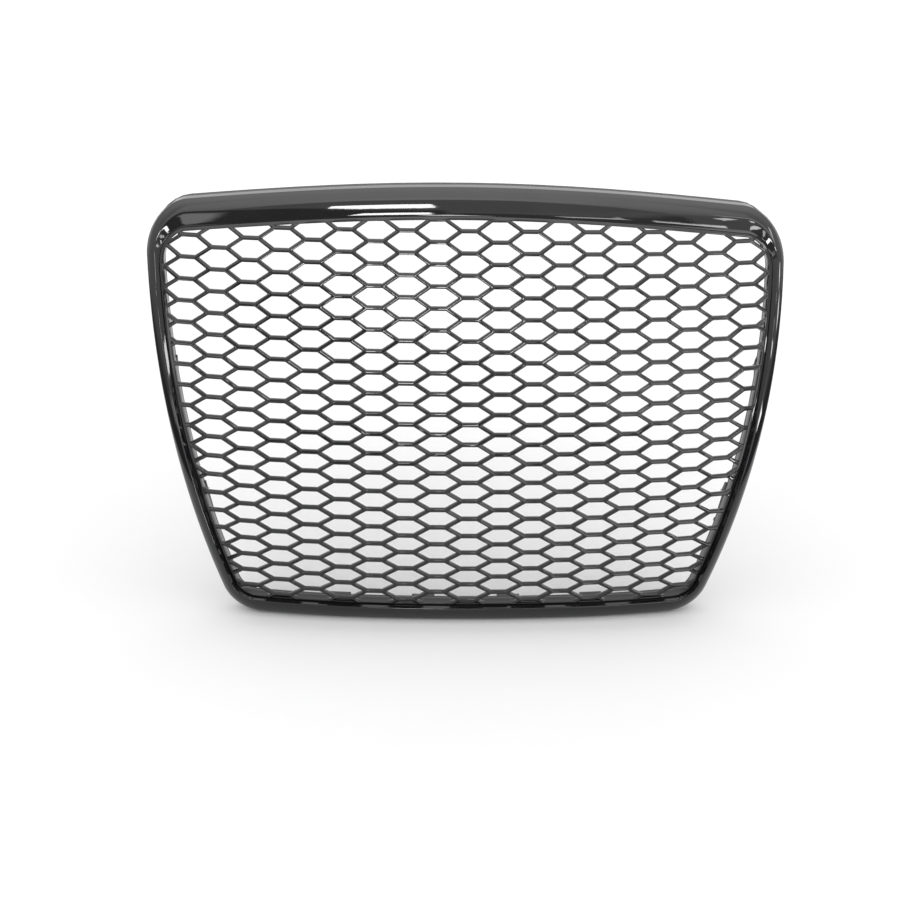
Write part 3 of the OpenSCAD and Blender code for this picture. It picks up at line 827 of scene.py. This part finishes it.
# Light of the walls and of the backdrop, as (degrees up, level).
WALLS = [(-90, 0.12), (-22, 0.12), (-6, 0.18), (0, 0.25), (10, 0.6), (24, 0.9),
         (45, 1.0), (58, 1.15), (62, 1.8), (75, 2.1), (90, 2.8)]
BACKDROP = [(-90, 0.3), (-30, 0.4), (-10, 1.0), (17, 1.1), (22, 0.6), (30, 0.75),
            (48, 1.4), (60, 1.75), (75, 2.1), (90, 2.8)]
ROOM_LIGHTS = [
    # from (round, up), to (round, up), half width, soft edge, light
    ((-44, 71), (38, 71), 12.0, 3.0, 1.05),
    ((-58, 50.5), (3, 50.5), 11.5, 1.0, 0.3),
    ((3, 48), (36, 48), 9.0, 1.5, 0.45),
    ((-33, 4), (13, 4), 34.0, 3.0, 1.25),
    ((-41, -6), (-41, 22), 7.0, 3.0, 1.6),
    ((-41, 26), (-41, 56), 7.0, 2.5, 3.0),
    ((29, -4), (29, 42), 14.0, 3.0, 3.1),
    ((-66, 4), (-48, 12), 4.0, 1.5, 2.3),
    ((57, 14), (90, 14), 3.0, 3.0, 1.1),
    ((-13, 63.4), (2, 65.2), 1.4, 0.25, 26.0),
    ((-6.5, 55.5), (1.5, 55.5), 4.0, 0.3, 26.0),
    ((1.5, 50), (6, 45), 1.5, 0.4, 12.0),
    ((27, 53.5), (41, 47), 1.3, 0.5, 12.0),
    ((44, 53), (52, 55), 1.5, 0.4, 10.0),
    ((60, 62), (113, 41), 1.4, 0.5, 6.0),
    ((12, 52), (23, 56), 1.5, 0.5, 8.0),
    ((50, 14), (80, -7), 3.0, 0.6, 20.0),
    ((57, 32), (72, 20), 2.0, 0.5, 18.0),
    ((94, 11), (94, 18), 2.5, 0.5, 14.0),
    ((92, 24), (92, 30), 2.5, 0.5, 14.0),
]
EVEN_LIGHT = 1.2
WHITE_LIGHT = (1.0, 1.0, 1.0, 1.0)
BACK_FROM, BACK_TO = 0.25, 0.6


def by_height(tree, up, levels):
    """A light level for each height in the room, in degrees up."""
    place = calc(tree, "MULTIPLY_ADD", up, 1 / HALF_TURN, 0.5)
    stops = [(angle / HALF_TURN + 0.5, level / BRIGHTEST) for angle, level in levels]
    return calc(tree, "MULTIPLY", ramp(tree, place, stops), BRIGHTEST)


def room():
    world = bpy.data.worlds.new("studio_room")
    bpy.context.scene.world = world
    world.use_nodes = True
    tree = world.node_tree
    tree.nodes.clear()
    towards = add(tree, "ShaderNodeSeparateXYZ")
    tree.links.new(add(tree, "ShaderNodeTexCoord").outputs["Generated"], towards.inputs[0])
    x, y, z = towards.outputs
    degrees = HALF_TURN / math.pi
    around = calc(tree, "ARCTAN2", x, calc(tree, "MULTIPLY", y, -1.0))
    around = calc(tree, "MULTIPLY", around, degrees)
    up = calc(tree, "MULTIPLY", calc(tree, "ARCSINE", z), degrees)
    walls = by_height(tree, up, WALLS)
    behind = by_height(tree, up, BACKDROP)
    share = soft_step(tree, y, BACK_FROM, BACK_TO)
    light = calc(tree, "MULTIPLY_ADD", calc(tree, "SUBTRACT", behind, walls), share, walls)
    for start, end, half_width, soft, level in ROOM_LIGHTS:
        a, b = Vector(start), Vector(end)
        line = (b - a).normalized()
        centre = (a + b) / 2
        lamp = use(tree, soft_light, Under=light, Round=around, Up=up,
                   Middle_round=centre.x, Middle_up=centre.y, Along_round=line.x, Along_up=line.y,
                   Half_length=(b - a).length / 2, Half_width=half_width, Soft=soft, Light=level)
        light = lamp["Light"]
    even = add(tree, "ShaderNodeBackground")
    even.inputs["Strength"].default_value = EVEN_LIGHT
    seen = add(tree, "ShaderNodeBackground")
    for light_source in (even, seen):
        light_source.inputs["Color"].default_value = WHITE_LIGHT
    feed(tree, seen.inputs["Strength"], light)
    both = add(tree, "ShaderNodeMixShader")
    feed(tree, both.inputs["Fac"], add(tree, "ShaderNodeLightPath").outputs["Is Glossy Ray"])
    for k, socket in ((1, even), (2, seen)):
        tree.links.new(socket.outputs[0], both.inputs[k])
    tree.links.new(both.outputs[0], add(tree, "ShaderNodeOutputWorld").inputs[0])
    return world


room()
bpy.context.scene.view_settings.view_transform = "Standard"
print("lights in the room:", len(ROOM_LIGHTS))

# %% [markdown]
# Small effects that several finishes share are node groups. Each one takes a place
# on the part and a few sizes, and gives back a height or a mask: the faint ripple
# of a gloss moulding, settled dust, the stipple of a textured mould, the drawn
# lines of sheet steel, the pores of foam, and the fine scuffs of handling.

# %% Shared surface effects
def noise(tree, vector, scale, detail=2.0, roughness=0.5):
    node = add(tree, "ShaderNodeTexNoise")
    labels = ("Vector", "Scale", "Detail", "Roughness")
    for label, value in zip(labels, (vector, scale, detail, roughness)):
        feed(tree, node.inputs[label], value)
    return node.outputs["Fac"]


def stretched(tree, vector, factors):
    node = add(tree, "ShaderNodeVectorMath", operation="MULTIPLY")
    feed(tree, node.inputs[0], vector)
    feed(tree, node.inputs[1], factors)
    return node.outputs["Vector"]


PLACE = ("Place", "Vector", None)
HEIGHT = ("Height", "Float")
MASK = ("Mask", "Float")


def ripple_group():
    group, given, result = shader_group(
        "moulding_ripple", [PLACE, ("Waves per metre", "Float", 90.0)], [HEIGHT])
    wide = noise(group, given["Place"], given["Waves per metre"], 1.0)
    fine = noise(group, given["Place"], calc(group, "MULTIPLY", given["Waves per metre"], 9.0), 1.0)
    feed(group, result["Height"], calc(group, "MULTIPLY_ADD", fine, 0.12, wide))
    return group


def dust_group():
    group, given, result = shader_group(
        "settled_dust",
        [PLACE, ("Amount", "Float", 0.3), ("Specks per metre", "Float", 1400.0)], [MASK])
    facing = add(group, "ShaderNodeSeparateXYZ")
    group.links.new(add(group, "ShaderNodeNewGeometry").outputs["Normal"], facing.inputs[0])
    upward = soft_step(group, facing.outputs["Z"], -0.1, 0.9)
    grains = noise(group, given["Place"], given["Specks per metre"], 1.0)
    speck = soft_step(group, grains, 0.66, 0.74)
    drift = soft_step(group, noise(group, given["Place"], 14.0, 3.0), 0.45, 0.7, 0.02, 0.12)
    settled = calc(group, "MULTIPLY", calc(group, "MAXIMUM", speck, drift), upward)
    feed(group, result["Mask"], calc(group, "MULTIPLY", settled, given["Amount"]))
    return group


def stipple_group():
    group, given, result = shader_group(
        "mould_stipple", [PLACE, ("Grains per metre", "Float", 900.0)], [HEIGHT, MASK])
    cells = add(group, "ShaderNodeTexVoronoi", feature="SMOOTH_F1")
    feed(group, cells.inputs["Vector"], given["Place"])
    feed(group, cells.inputs["Scale"], given["Grains per metre"])
    rough = noise(group, given["Place"], calc(group, "MULTIPLY", given["Grains per metre"], 2.2))
    height = calc(group, "MULTIPLY_ADD", rough, 0.4, cells.outputs["Distance"])
    feed(group, result["Height"], height)
    feed(group, result["Mask"], noise(group, given["Place"], 35.0, 4.0, 0.6))
    return group


def drawn_group():
    group, given, result = shader_group(
        "drawn_lines",
        [PLACE, ("Stretch", "Vector", (1.0, 1.0, 1.0)), ("Lines per metre", "Float", 500.0)],
        [("Lines", "Float"), ("Spangle", "Float")])
    along = stretched(group, given["Place"], given["Stretch"])
    feed(group, result["Lines"], noise(group, along, given["Lines per metre"], 4.0, 0.65))
    feed(group, result["Spangle"], noise(group, given["Place"], 130.0, 2.0))
    return group


def pore_group():
    group, given, result = shader_group(
        "foam_pores", [PLACE, ("Pores per metre", "Float", 1100.0)], [HEIGHT, MASK])
    pores = add(group, "ShaderNodeTexVoronoi", feature="F1")
    feed(group, pores.inputs["Vector"], given["Place"])
    feed(group, pores.inputs["Scale"], given["Pores per metre"])
    depth = soft_step(group, pores.outputs["Distance"], 0.05, 0.6)
    feed(group, result["Height"], depth)
    patches = noise(group, given["Place"], 60.0, 3.0)
    # Mask: painted shade, darker in the pore hollows, varied by random patches
    feed(group, result["Mask"], calc(group, "MULTIPLY", depth, patches))
    return group


def scuff_group():
    group, given, result = shader_group(
        "fine_scuffs", [PLACE, ("Amount", "Float", 0.5)], [MASK])
    line = noise(group, stretched(group, given["Place"], (30.0, 240.0, 900.0)), 1.0, 2.0)
    other = noise(group, stretched(group, given["Place"], (700.0, 200.0, 40.0)), 1.0, 2.0)
    lines_seen = soft_step(group, line, 0.68, 0.74)
    marks = calc(group, "MAXIMUM", lines_seen, soft_step(group, other, 0.7, 0.76))
    where_worn = soft_step(group, noise(group, given["Place"], 9.0, 2.0), 0.4, 0.65)
    marks = calc(group, "MULTIPLY", marks, where_worn)
    feed(group, result["Mask"], calc(group, "MULTIPLY", marks, given["Amount"]))
    return group


ripple, dust, stipple = ripple_group(), dust_group(), stipple_group()
drawn, pores, scuffs = drawn_group(), pore_group(), scuff_group()
print("shared effects:", [g.name for g in (ripple, dust, stipple, drawn, pores, scuffs)])

# %% [markdown]
# Every finish starts from the same few lines: a new material, its Principled
# shader, and the place on the part in metres. Bumps are given in real heights.

# %% Material makers
def new_finish(name):
    material = bpy.data.materials.get(name) or bpy.data.materials.new(name)
    material.use_nodes = True
    tree = material.node_tree
    place = add(tree, "ShaderNodeTexCoord").outputs["Object"]
    return material, tree, tree.nodes["Principled BSDF"].inputs, place


def bump(tree, height, depth_m, strength=1.0, under=None):
    node = add(tree, "ShaderNodeBump")
    node.inputs["Strength"].default_value = strength
    node.inputs["Distance"].default_value = depth_m
    feed(tree, node.inputs["Height"], height)
    if under is not None:
        feed(tree, node.inputs["Normal"], under)
    return node.outputs["Normal"]


def between_values(tree, mask, low, high):
    """A value that follows a mask from low to high."""
    return soft_step(tree, mask, 0.0, 1.0, low, high)


print("material makers ready")


# %% [markdown]
# The surround and the honeycomb are moulded in gloss black. The plastic itself is
# almost pure black, the mirror on top does the work, and a ripple of a few microns
# keeps long reflections from looking like glass. Dust gathers on upward faces.

# %% Gloss black
DUST_GREY = (0.3, 0.29, 0.28)
RIPPLE_M = 0.00002


def gloss_black(name, black, dusty, smooth, rough, waves):
    material, tree, shader, place = new_finish(name)
    grey = use(tree, dust, Place=place, Amount=dusty)["Mask"]
    marks = use(tree, scuffs, Place=place, Amount=0.35)["Mask"]
    feed(tree, shader["Base Color"], ramp(tree, grey, [(0.0, black), (1.0, DUST_GREY)]))
    worn = calc(tree, "MAXIMUM", grey, marks)
    feed(tree, shader["Roughness"], between_values(tree, worn, smooth, rough))
    height = use(tree, ripple, Place=place, Waves_per_metre=waves)["Height"]
    feed(tree, shader["Normal"], bump(tree, height, RIPPLE_M))
    return material


surround_black = gloss_black(
    "gloss_surround_black", black=(0.005, 0.005, 0.006), dusty=0.14,
    smooth=0.018, rough=0.35, waves=60.0)
gloss_black("gloss_mesh_black", black=(0.004, 0.004, 0.005), dusty=0.1,
            smooth=0.03, rough=0.4, waves=150.0)
print("gloss finishes made")

# %% [markdown]
# The carrier, the clips and the hooks are as-moulded black plastic: a spark-eroded
# mould leaves a fine stipple, and glass fibre makes the clips a little paler and
# more satin. Rubber and foam swallow light, so they have the highest roughness.

# %% Matt blacks
def matt_black(name, dark, pale, smooth, rough, grain, depth_m, dusty):
    material, tree, shader, place = new_finish(name)
    grained = use(tree, stipple, Place=place, Grains_per_metre=grain)
    grey = use(tree, dust, Place=place, Amount=dusty)["Mask"]
    marks = use(tree, scuffs, Place=place, Amount=0.5)["Mask"]
    worn = calc(tree, "MAXIMUM", grey, marks)
    tone = calc(tree, "ADD", worn, calc(tree, "MULTIPLY", grained["Mask"], 0.35))
    feed(tree, shader["Base Color"], ramp(tree, tone, [(0.0, dark), (1.0, pale)]))
    feed(tree, shader["Roughness"], between_values(tree, grained["Mask"], smooth, rough))
    feed(tree, shader["Normal"], bump(tree, grained["Height"], depth_m))
    return material


def foam_black(name):
    material, tree, shader, place = new_finish(name)
    open_cells = use(tree, pores, Place=place)
    # the colour is darker in the pores: painted shade in the pore hollows, with random patches
    shades = [(0.0, (0.012, 0.012, 0.012)), (0.8, (0.06, 0.06, 0.062))]
    feed(tree, shader["Base Color"], ramp(tree, open_cells["Mask"], shades))
    feed(tree, shader["Roughness"], between_values(tree, open_cells["Mask"], 0.85, 0.98))
    feed(tree, shader["Normal"], bump(tree, open_cells["Height"], 0.0003))
    return material


carrier_black = matt_black(
    "carrier_moulded_black", dark=(0.022, 0.022, 0.023), pale=(0.085, 0.085, 0.086),
    smooth=0.38, rough=0.6, grain=900.0, depth_m=0.00008, dusty=0.6)
clip_black = matt_black(
    "glass_filled_nylon", dark=(0.03, 0.03, 0.032), pale=(0.11, 0.11, 0.11),
    smooth=0.3, rough=0.48, grain=2200.0, depth_m=0.00003, dusty=0.4)
rubber_black = matt_black(
    "rubber_black", dark=(0.016, 0.016, 0.016), pale=(0.07, 0.068, 0.066),
    smooth=0.7, rough=0.9, grain=1600.0, depth_m=0.00005, dusty=0.7)
seal_black = foam_black("seal_foam_black")
print("matt finishes made")

# %% [markdown]
# The metal pieces are zinc-plated sheet, bare spring steel and zinc-plated screws.
# Rolling leaves drawn lines along the sheet, plating leaves a faint spangle, and
# both show as a changing roughness more than as a changing colour.

# %% Steels
def plated_steel(name, dark, pale, smooth, rough, stretch, lines):
    material, tree, shader, place = new_finish(name)
    sheet = use(tree, drawn, Place=place, Stretch=stretch, Lines_per_metre=lines)
    marks = use(tree, scuffs, Place=place, Amount=0.6)["Mask"]
    drawn_share = calc(tree, "MULTIPLY", sheet["Lines"], 0.4)
    tone = calc(tree, "MULTIPLY_ADD", sheet["Spangle"], 0.6, drawn_share)
    feed(tree, shader["Base Color"], ramp(tree, tone, [(0.3, dark), (0.7, pale)]))
    shader["Metallic"].default_value = 1.0
    worn = calc(tree, "MAXIMUM", sheet["Lines"], marks)
    feed(tree, shader["Roughness"], between_values(tree, worn, smooth, rough))
    feed(tree, shader["Normal"], bump(tree, sheet["Lines"], 0.00001, 0.6))
    return material


bracket_zinc = plated_steel(
    "bracket_zinc", dark=(0.52, 0.53, 0.54), pale=(0.72, 0.73, 0.72),
    smooth=0.24, rough=0.5, stretch=(0.06, 1.0, 1.0), lines=900.0)
spring_bare = plated_steel(
    "spring_bare_steel", dark=(0.4, 0.4, 0.41), pale=(0.62, 0.62, 0.61),
    smooth=0.18, rough=0.4, stretch=(1.0, 0.08, 1.0), lines=1500.0)
screw_zinc = plated_steel(
    "screw_zinc", dark=(0.42, 0.42, 0.43), pale=(0.66, 0.66, 0.65),
    smooth=0.2, rough=0.42, stretch=(1.0, 1.0, 1.0), lines=2500.0)
washer_zinc = plated_steel(
    "washer_zinc", dark=(0.5, 0.5, 0.51), pale=(0.74, 0.74, 0.72),
    smooth=0.22, rough=0.45, stretch=(1.0, 1.0, 1.0), lines=1800.0)
print("steels made")

# %% [markdown]
# The floor is a pale matt sweep. In the grille's mirror only, its colour is painted dark
# a little way past each side, a painted dark reflection that keeps the sides of the
# surround dark near the floor.

# %% Floor finish
PAINTED_REFLECTION_EDGE = (0.7, 0.85)
SWEEP_WHITE = (0.9, 0.9, 0.9)
PAINTED_DARK_REFLECTION = (0.08, 0.08, 0.08)


def floor_finish():
    material, tree, shader, place = new_finish("pale_floor")
    apart = add(tree, "ShaderNodeSeparateXYZ")
    feed(tree, apart.inputs[0], place)
    # painted dark reflection: past each side the floor is dark, but only as seen in glossy rays
    side = soft_step(tree, calc(tree, "ABSOLUTE", apart.outputs["X"]), *PAINTED_REFLECTION_EDGE)
    in_mirror = add(tree, "ShaderNodeLightPath").outputs["Is Glossy Ray"]
    mirrored = calc(tree, "MULTIPLY", side, in_mirror)
    mottle = calc(tree, "MULTIPLY", noise(tree, place, 3.0), 0.02)
    tone = calc(tree, "ADD", calc(tree, "MULTIPLY", mirrored, 0.95), mottle)
    feed(tree, shader["Base Color"], ramp(tree, tone, [(0.0, SWEEP_WHITE), (1.0, PAINTED_DARK_REFLECTION)]))
    feed(tree, shader["Roughness"], between_values(tree, mottle, 0.75, 0.8))
    shader["Specular IOR Level"].default_value = 0.0
    return material


floor.data.materials.append(floor_finish())
print("floor finish made")

# %% [markdown]
# Twenty screws hold the carrier to the surround, eight more hold the brackets and
# sixteen the clips and hooks. One screw is turned up as a lathe would turn it, with
# a cross recess pressed into its pan head.

# %% One pan-head screw
SCREW_SIDES = 24
HEAD_RADIUS, HEAD_HEIGHT = 3.5, 2.2
HEAD_SIDE = 0.35
SHANK_RADIUS = 1.45
CORE_RADIUS = 1.15
THREAD_PITCH = 0.9
THREAD_FROM, THREAD_TO = 1.2, 2.2
RECESS_RADIUS, RECESS_WAVE, RECESS_DEPTH = 1.35, 0.75, 1.3
POINT = 0.3


def pan_head_screw(length):
    """A screw with its seat on z = 0, its head above and its shank below, in metres."""
    rise = 1 - HEAD_SIDE
    rounding = [(HEAD_RADIUS * math.cos(a) ** 0.5, HEAD_HEIGHT * (HEAD_SIDE + rise * math.sin(a)))
                for a in (math.radians(d) for d in (0, 25, 45, 62, 76))]
    threads = []
    z = -THREAD_FROM
    while z > THREAD_TO - length:
        threads += [(SHANK_RADIUS, z), (CORE_RADIUS, z - THREAD_PITCH / 2)]
        z -= THREAD_PITCH
    profile = [(0.35, -length), (0.95, THREAD_FROM - length)] + threads[::-1]
    profile += [(SHANK_RADIUS, -0.6), (SHANK_RADIUS, 0.0)]
    profile += [(HEAD_RADIUS - 0.15, 0.0), (HEAD_RADIUS, 0.15)] + rounding
    bm = bmesh.new()
    turn = [2 * math.pi * k / SCREW_SIDES for k in range(SCREW_SIDES)]

    def circle(radius_at, height):
        return [bm.verts.new((radius_at(t) * math.cos(t) * MM, radius_at(t) * math.sin(t) * MM,
                              height * MM)) for t in turn]

    def cross(t):
        return RECESS_RADIUS + RECESS_WAVE * math.cos(4 * t)

    rings = [circle(lambda t, q=q: q, h) for q, h in profile]
    top = HEAD_HEIGHT
    floor_of_recess = top - RECESS_DEPTH
    rings += [circle(lambda t: cross(t) + 0.12, top), circle(cross, top - 0.1),
              circle(lambda t: 0.6 * cross(t), floor_of_recess)]
    for low, high in zip(rings, rings[1:]):
        for k in range(SCREW_SIDES):
            j = (k + 1) % SCREW_SIDES
            bm.faces.new((low[k], low[j], high[j], high[k]))
    ends = ((rings[0], -length - POINT, True), (rings[-1], floor_of_recess - POINT, False))
    for ring, height, flip in ends:
        tip = bm.verts.new((0, 0, height * MM))
        for k in range(SCREW_SIDES):
            face = (ring[k], ring[(k + 1) % SCREW_SIDES], tip)
            bm.faces.new(face[::-1] if flip else face)
    mesh = bpy.data.meshes.new("pan_head_screw")
    bm.to_mesh(mesh)
    bm.free()
    return mesh


long_screw = helper_object("long_screw", pan_head_screw(9.7))
short_screw = helper_object("short_screw", pan_head_screw(4.7))
print("faces in a screw:", len(long_screw.data.polygons))

# %% [markdown]
# The seats are worked out from the same outlines as the surround, so each screw
# stands square on its own spot: on a washer on the carrier, on the foot of a clip
# or hook, or on top of a bracket. A seat is a point and the way the head faces.

# %% Seats for the screws
STATIONS = {"top": 8, "corner": 8, "side": 10, "bottom": 7}
station_rails = {
    name: outline(*((0.0,) * 4 + CORNERS if name == "outer" else values), n=STATIONS)
    for name, values in INSETS.items()
}
ROUND = len(station_rails["outer"])
CARRIER_BACK = 13.0
CARRIER_WALL = 4.0
WASHER = 0.8
FOOT = 2.5
CLIP_SCREWS = 11.0
HOOK_SCREWS = 7.0
HOOKS = (-137.0, -46.0, 46.0, 137.0)
HOOK_LEVEL = -186.0
BRACKET_SCREWS = (6.0, 20.0)
SCREW_SHARE = 0.62
CARRIER_STATIONS = [3, 6, 12, 17, 21, 25, 30, 35, 38]
CLIP_STATIONS = (19, 23)


def both_sides(stations):
    return list(stations) + [ROUND - k for k in stations]


def surface_axes(x, z):
    """Three directions at a point of the face: across it, down it and out of its back."""
    sx, sz = face_slope(x, z)
    across = Vector((1.0, sx, 0.0)).normalized()
    back = Vector((-sx, 1.0, -sz)).normalized()
    return across, back.cross(across), back


def seat(x, z, depth, lift, along=(0.0, 0.0)):
    """The foot of a screw on the face's back and the direction of its head."""
    across, down, back = surface_axes(x, z)
    sx, sz = face_slope(x, z)
    rise = depth / math.sqrt(1 + sx * sx + sz * sz) + lift
    foot = Vector((x, face_depth(x, z), z)) + back * rise + across * along[0] + down * along[1]
    return foot * MM + middle, back


outer_line, lip_line, opening_line = (station_rails[k] for k in ("outer", "lip", "opening"))
screw_line = outer_line + SCREW_SHARE * (lip_line - outer_line)
inward = opening_line - outer_line
wall_line = outer_line + CARRIER_WALL * inward / np.linalg.norm(inward, axis=1)[:, None]
flange_line = (wall_line + opening_line) / 2
carrier_seats = [seat(*screw_line[k], CARRIER_BACK, WASHER)
                 for k in [0, ROUND // 2] + both_sides(CARRIER_STATIONS)]
clip_seats = []
for side in (-1, 1):
    for k in CLIP_STATIONS:
        run = outer_line[k - 1] - outer_line[k + 1]
        lean = side * math.atan2(run[0], run[1])
        for reach in (-CLIP_SCREWS, CLIP_SCREWS):
            along = (-math.sin(lean) * reach, math.cos(lean) * reach)
            x, z = side * flange_line[k][0], flange_line[k][1]
            clip_seats.append(seat(x, z, CARRIER_BACK, FOOT, along))
for x in HOOKS:
    for reach in (-HOOK_SCREWS, HOOK_SCREWS):
        clip_seats.append(seat(x, HOOK_LEVEL, CARRIER_BACK, FOOT, (reach, 0.0)))
bracket_seats = []
for name in ("left_outer", "left_inner", "right_inner", "right_outer"):
    low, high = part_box("top_bracket_" + name)
    for reach in BRACKET_SCREWS:
        foot = Vector(((low[0] + high[0]) / 2, low[1] + reach * MM, high[2]))
        bracket_seats.append((foot, Vector((0, 0, 1))))
print("seats:", len(carrier_seats), len(clip_seats), len(bracket_seats))

# %% [markdown]
# The node tree stands a screw on every seat, heads outwards, and turns each one by
# its own random amount, because no two screws stop at the same angle.

# %% The screw tree
def screw_tree():
    tree = node_tree("screws_on_seats", [
        ("Screw", "Object", None), ("Seed", "Int", 7), ("Material", "Material", None)])
    given = add(tree, "NodeGroupInput").outputs
    link = tree.links.new
    heading_to = add(tree, "GeometryNodeInputNamedAttribute", data_type="FLOAT_VECTOR")
    heading_to.inputs["Name"].default_value = "head"
    stand = add(tree, "FunctionNodeAlignRotationToVector", axis="Z")
    link(heading_to.outputs["Attribute"], stand.inputs["Vector"])
    unit = add(tree, "GeometryNodeObjectInfo")
    link(given["Screw"], unit.inputs["Object"])
    repeat = add(tree, "GeometryNodeInstanceOnPoints")
    link(given["Geometry"], repeat.inputs["Points"])
    link(unit.outputs["Geometry"], repeat.inputs["Instance"])
    link(stand.outputs["Rotation"], repeat.inputs["Rotation"])
    turn = add(tree, "FunctionNodeRandomValue", data_type="FLOAT")
    link(given["Seed"], turn.inputs["Seed"])
    turn.inputs[3].default_value = math.pi / 2
    spin = add(tree, "ShaderNodeCombineXYZ")
    link(turn.outputs[1], spin.inputs["Z"])
    turned_screws = add(tree, "GeometryNodeRotateInstances")
    link(repeat.outputs[0], turned_screws.inputs["Instances"])
    link(spin.outputs[0], turned_screws.inputs["Rotation"])
    real = add(tree, "GeometryNodeRealizeInstances")
    link(turned_screws.outputs[0], real.inputs[0])
    smooth = add(tree, "GeometryNodeSetShadeSmooth", domain="FACE")
    link(real.outputs[0], smooth.inputs["Geometry"])
    paint = add(tree, "GeometryNodeSetMaterial")
    link(smooth.outputs[0], paint.inputs["Geometry"])
    link(given["Material"], paint.inputs["Material"])
    link(paint.outputs[0], add(tree, "NodeGroupOutput").inputs[0])
    return tree


screws_on_seats = screw_tree()


def screw_set(name, seats, screw, seed):
    mesh = bpy.data.meshes.new(name)
    mesh.from_pydata([tuple(p) for p, _ in seats], [], [])
    head = mesh.attributes.new("head", "FLOAT_VECTOR", "POINT")
    head.data.foreach_set("vector", [v for _, d in seats for v in d])
    piece = bpy.data.objects.new(name, mesh)
    bpy.context.scene.collection.objects.link(piece)
    nodes = piece.modifiers.new("screws", "NODES")
    nodes.node_group = screws_on_seats
    set_inputs(nodes, screws_on_seats, {"Screw": screw, "Seed": seed, "Material": screw_zinc})
    settle(piece)
    print(name, "has", len(piece.data.polygons), "faces")
    return piece


carrier_screws = screw_set("carrier_screw_set", carrier_seats, long_screw, 7)
clip_screws = screw_set("clip_screw_set", clip_seats, short_screw, 11)
bracket_screws = screw_set("bracket_screw_set", bracket_seats, long_screw, 13)

# %% [markdown]
# Last, each new piece is told which body it rides on, and the engineering piece that
# it stands for is hidden. The pieces whose engineering shape is already right keep
# it, and only take their new finish.

# %% Dress the pieces
smooth_shade(surround)
surround.data.materials.append(surround_black)
for helper in (cell, block, long_screw, short_screw):
    bpy.data.objects.remove(helper)

REPLACEMENTS = [
    (surround, "surround_frame", "gloss_surround"),
    (insert, "honeycomb_insert", "gloss_mesh"),
    (carrier_screws, "carrier_screws", "screw_steel"),
    (clip_screws, "clip_screws", "screw_steel"),
    (bracket_screws, "bracket_screws", "screw_steel"),
]
for piece, node, slot in REPLACEMENTS:
    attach(piece, BODY)
    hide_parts(node)

FINISHES = {
    "rear_carrier": carrier_black, "top_seal": seal_black, "spring_clips": spring_bare,
    "carrier_washers": washer_zinc, "anti_rattle_pads": rubber_black,
    "top_bracket": bracket_zinc, "side_clip": clip_black, "bottom_hook": clip_black,
    "locating_pin": clip_black,
}
dressed = 0
for name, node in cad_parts.items():
    for start, finish in FINISHES.items():
        if name.startswith(start):
            for slot in node.material_slots:
                slot.material = finish
            dressed += 1
print("engineering pieces dressed:", dressed)
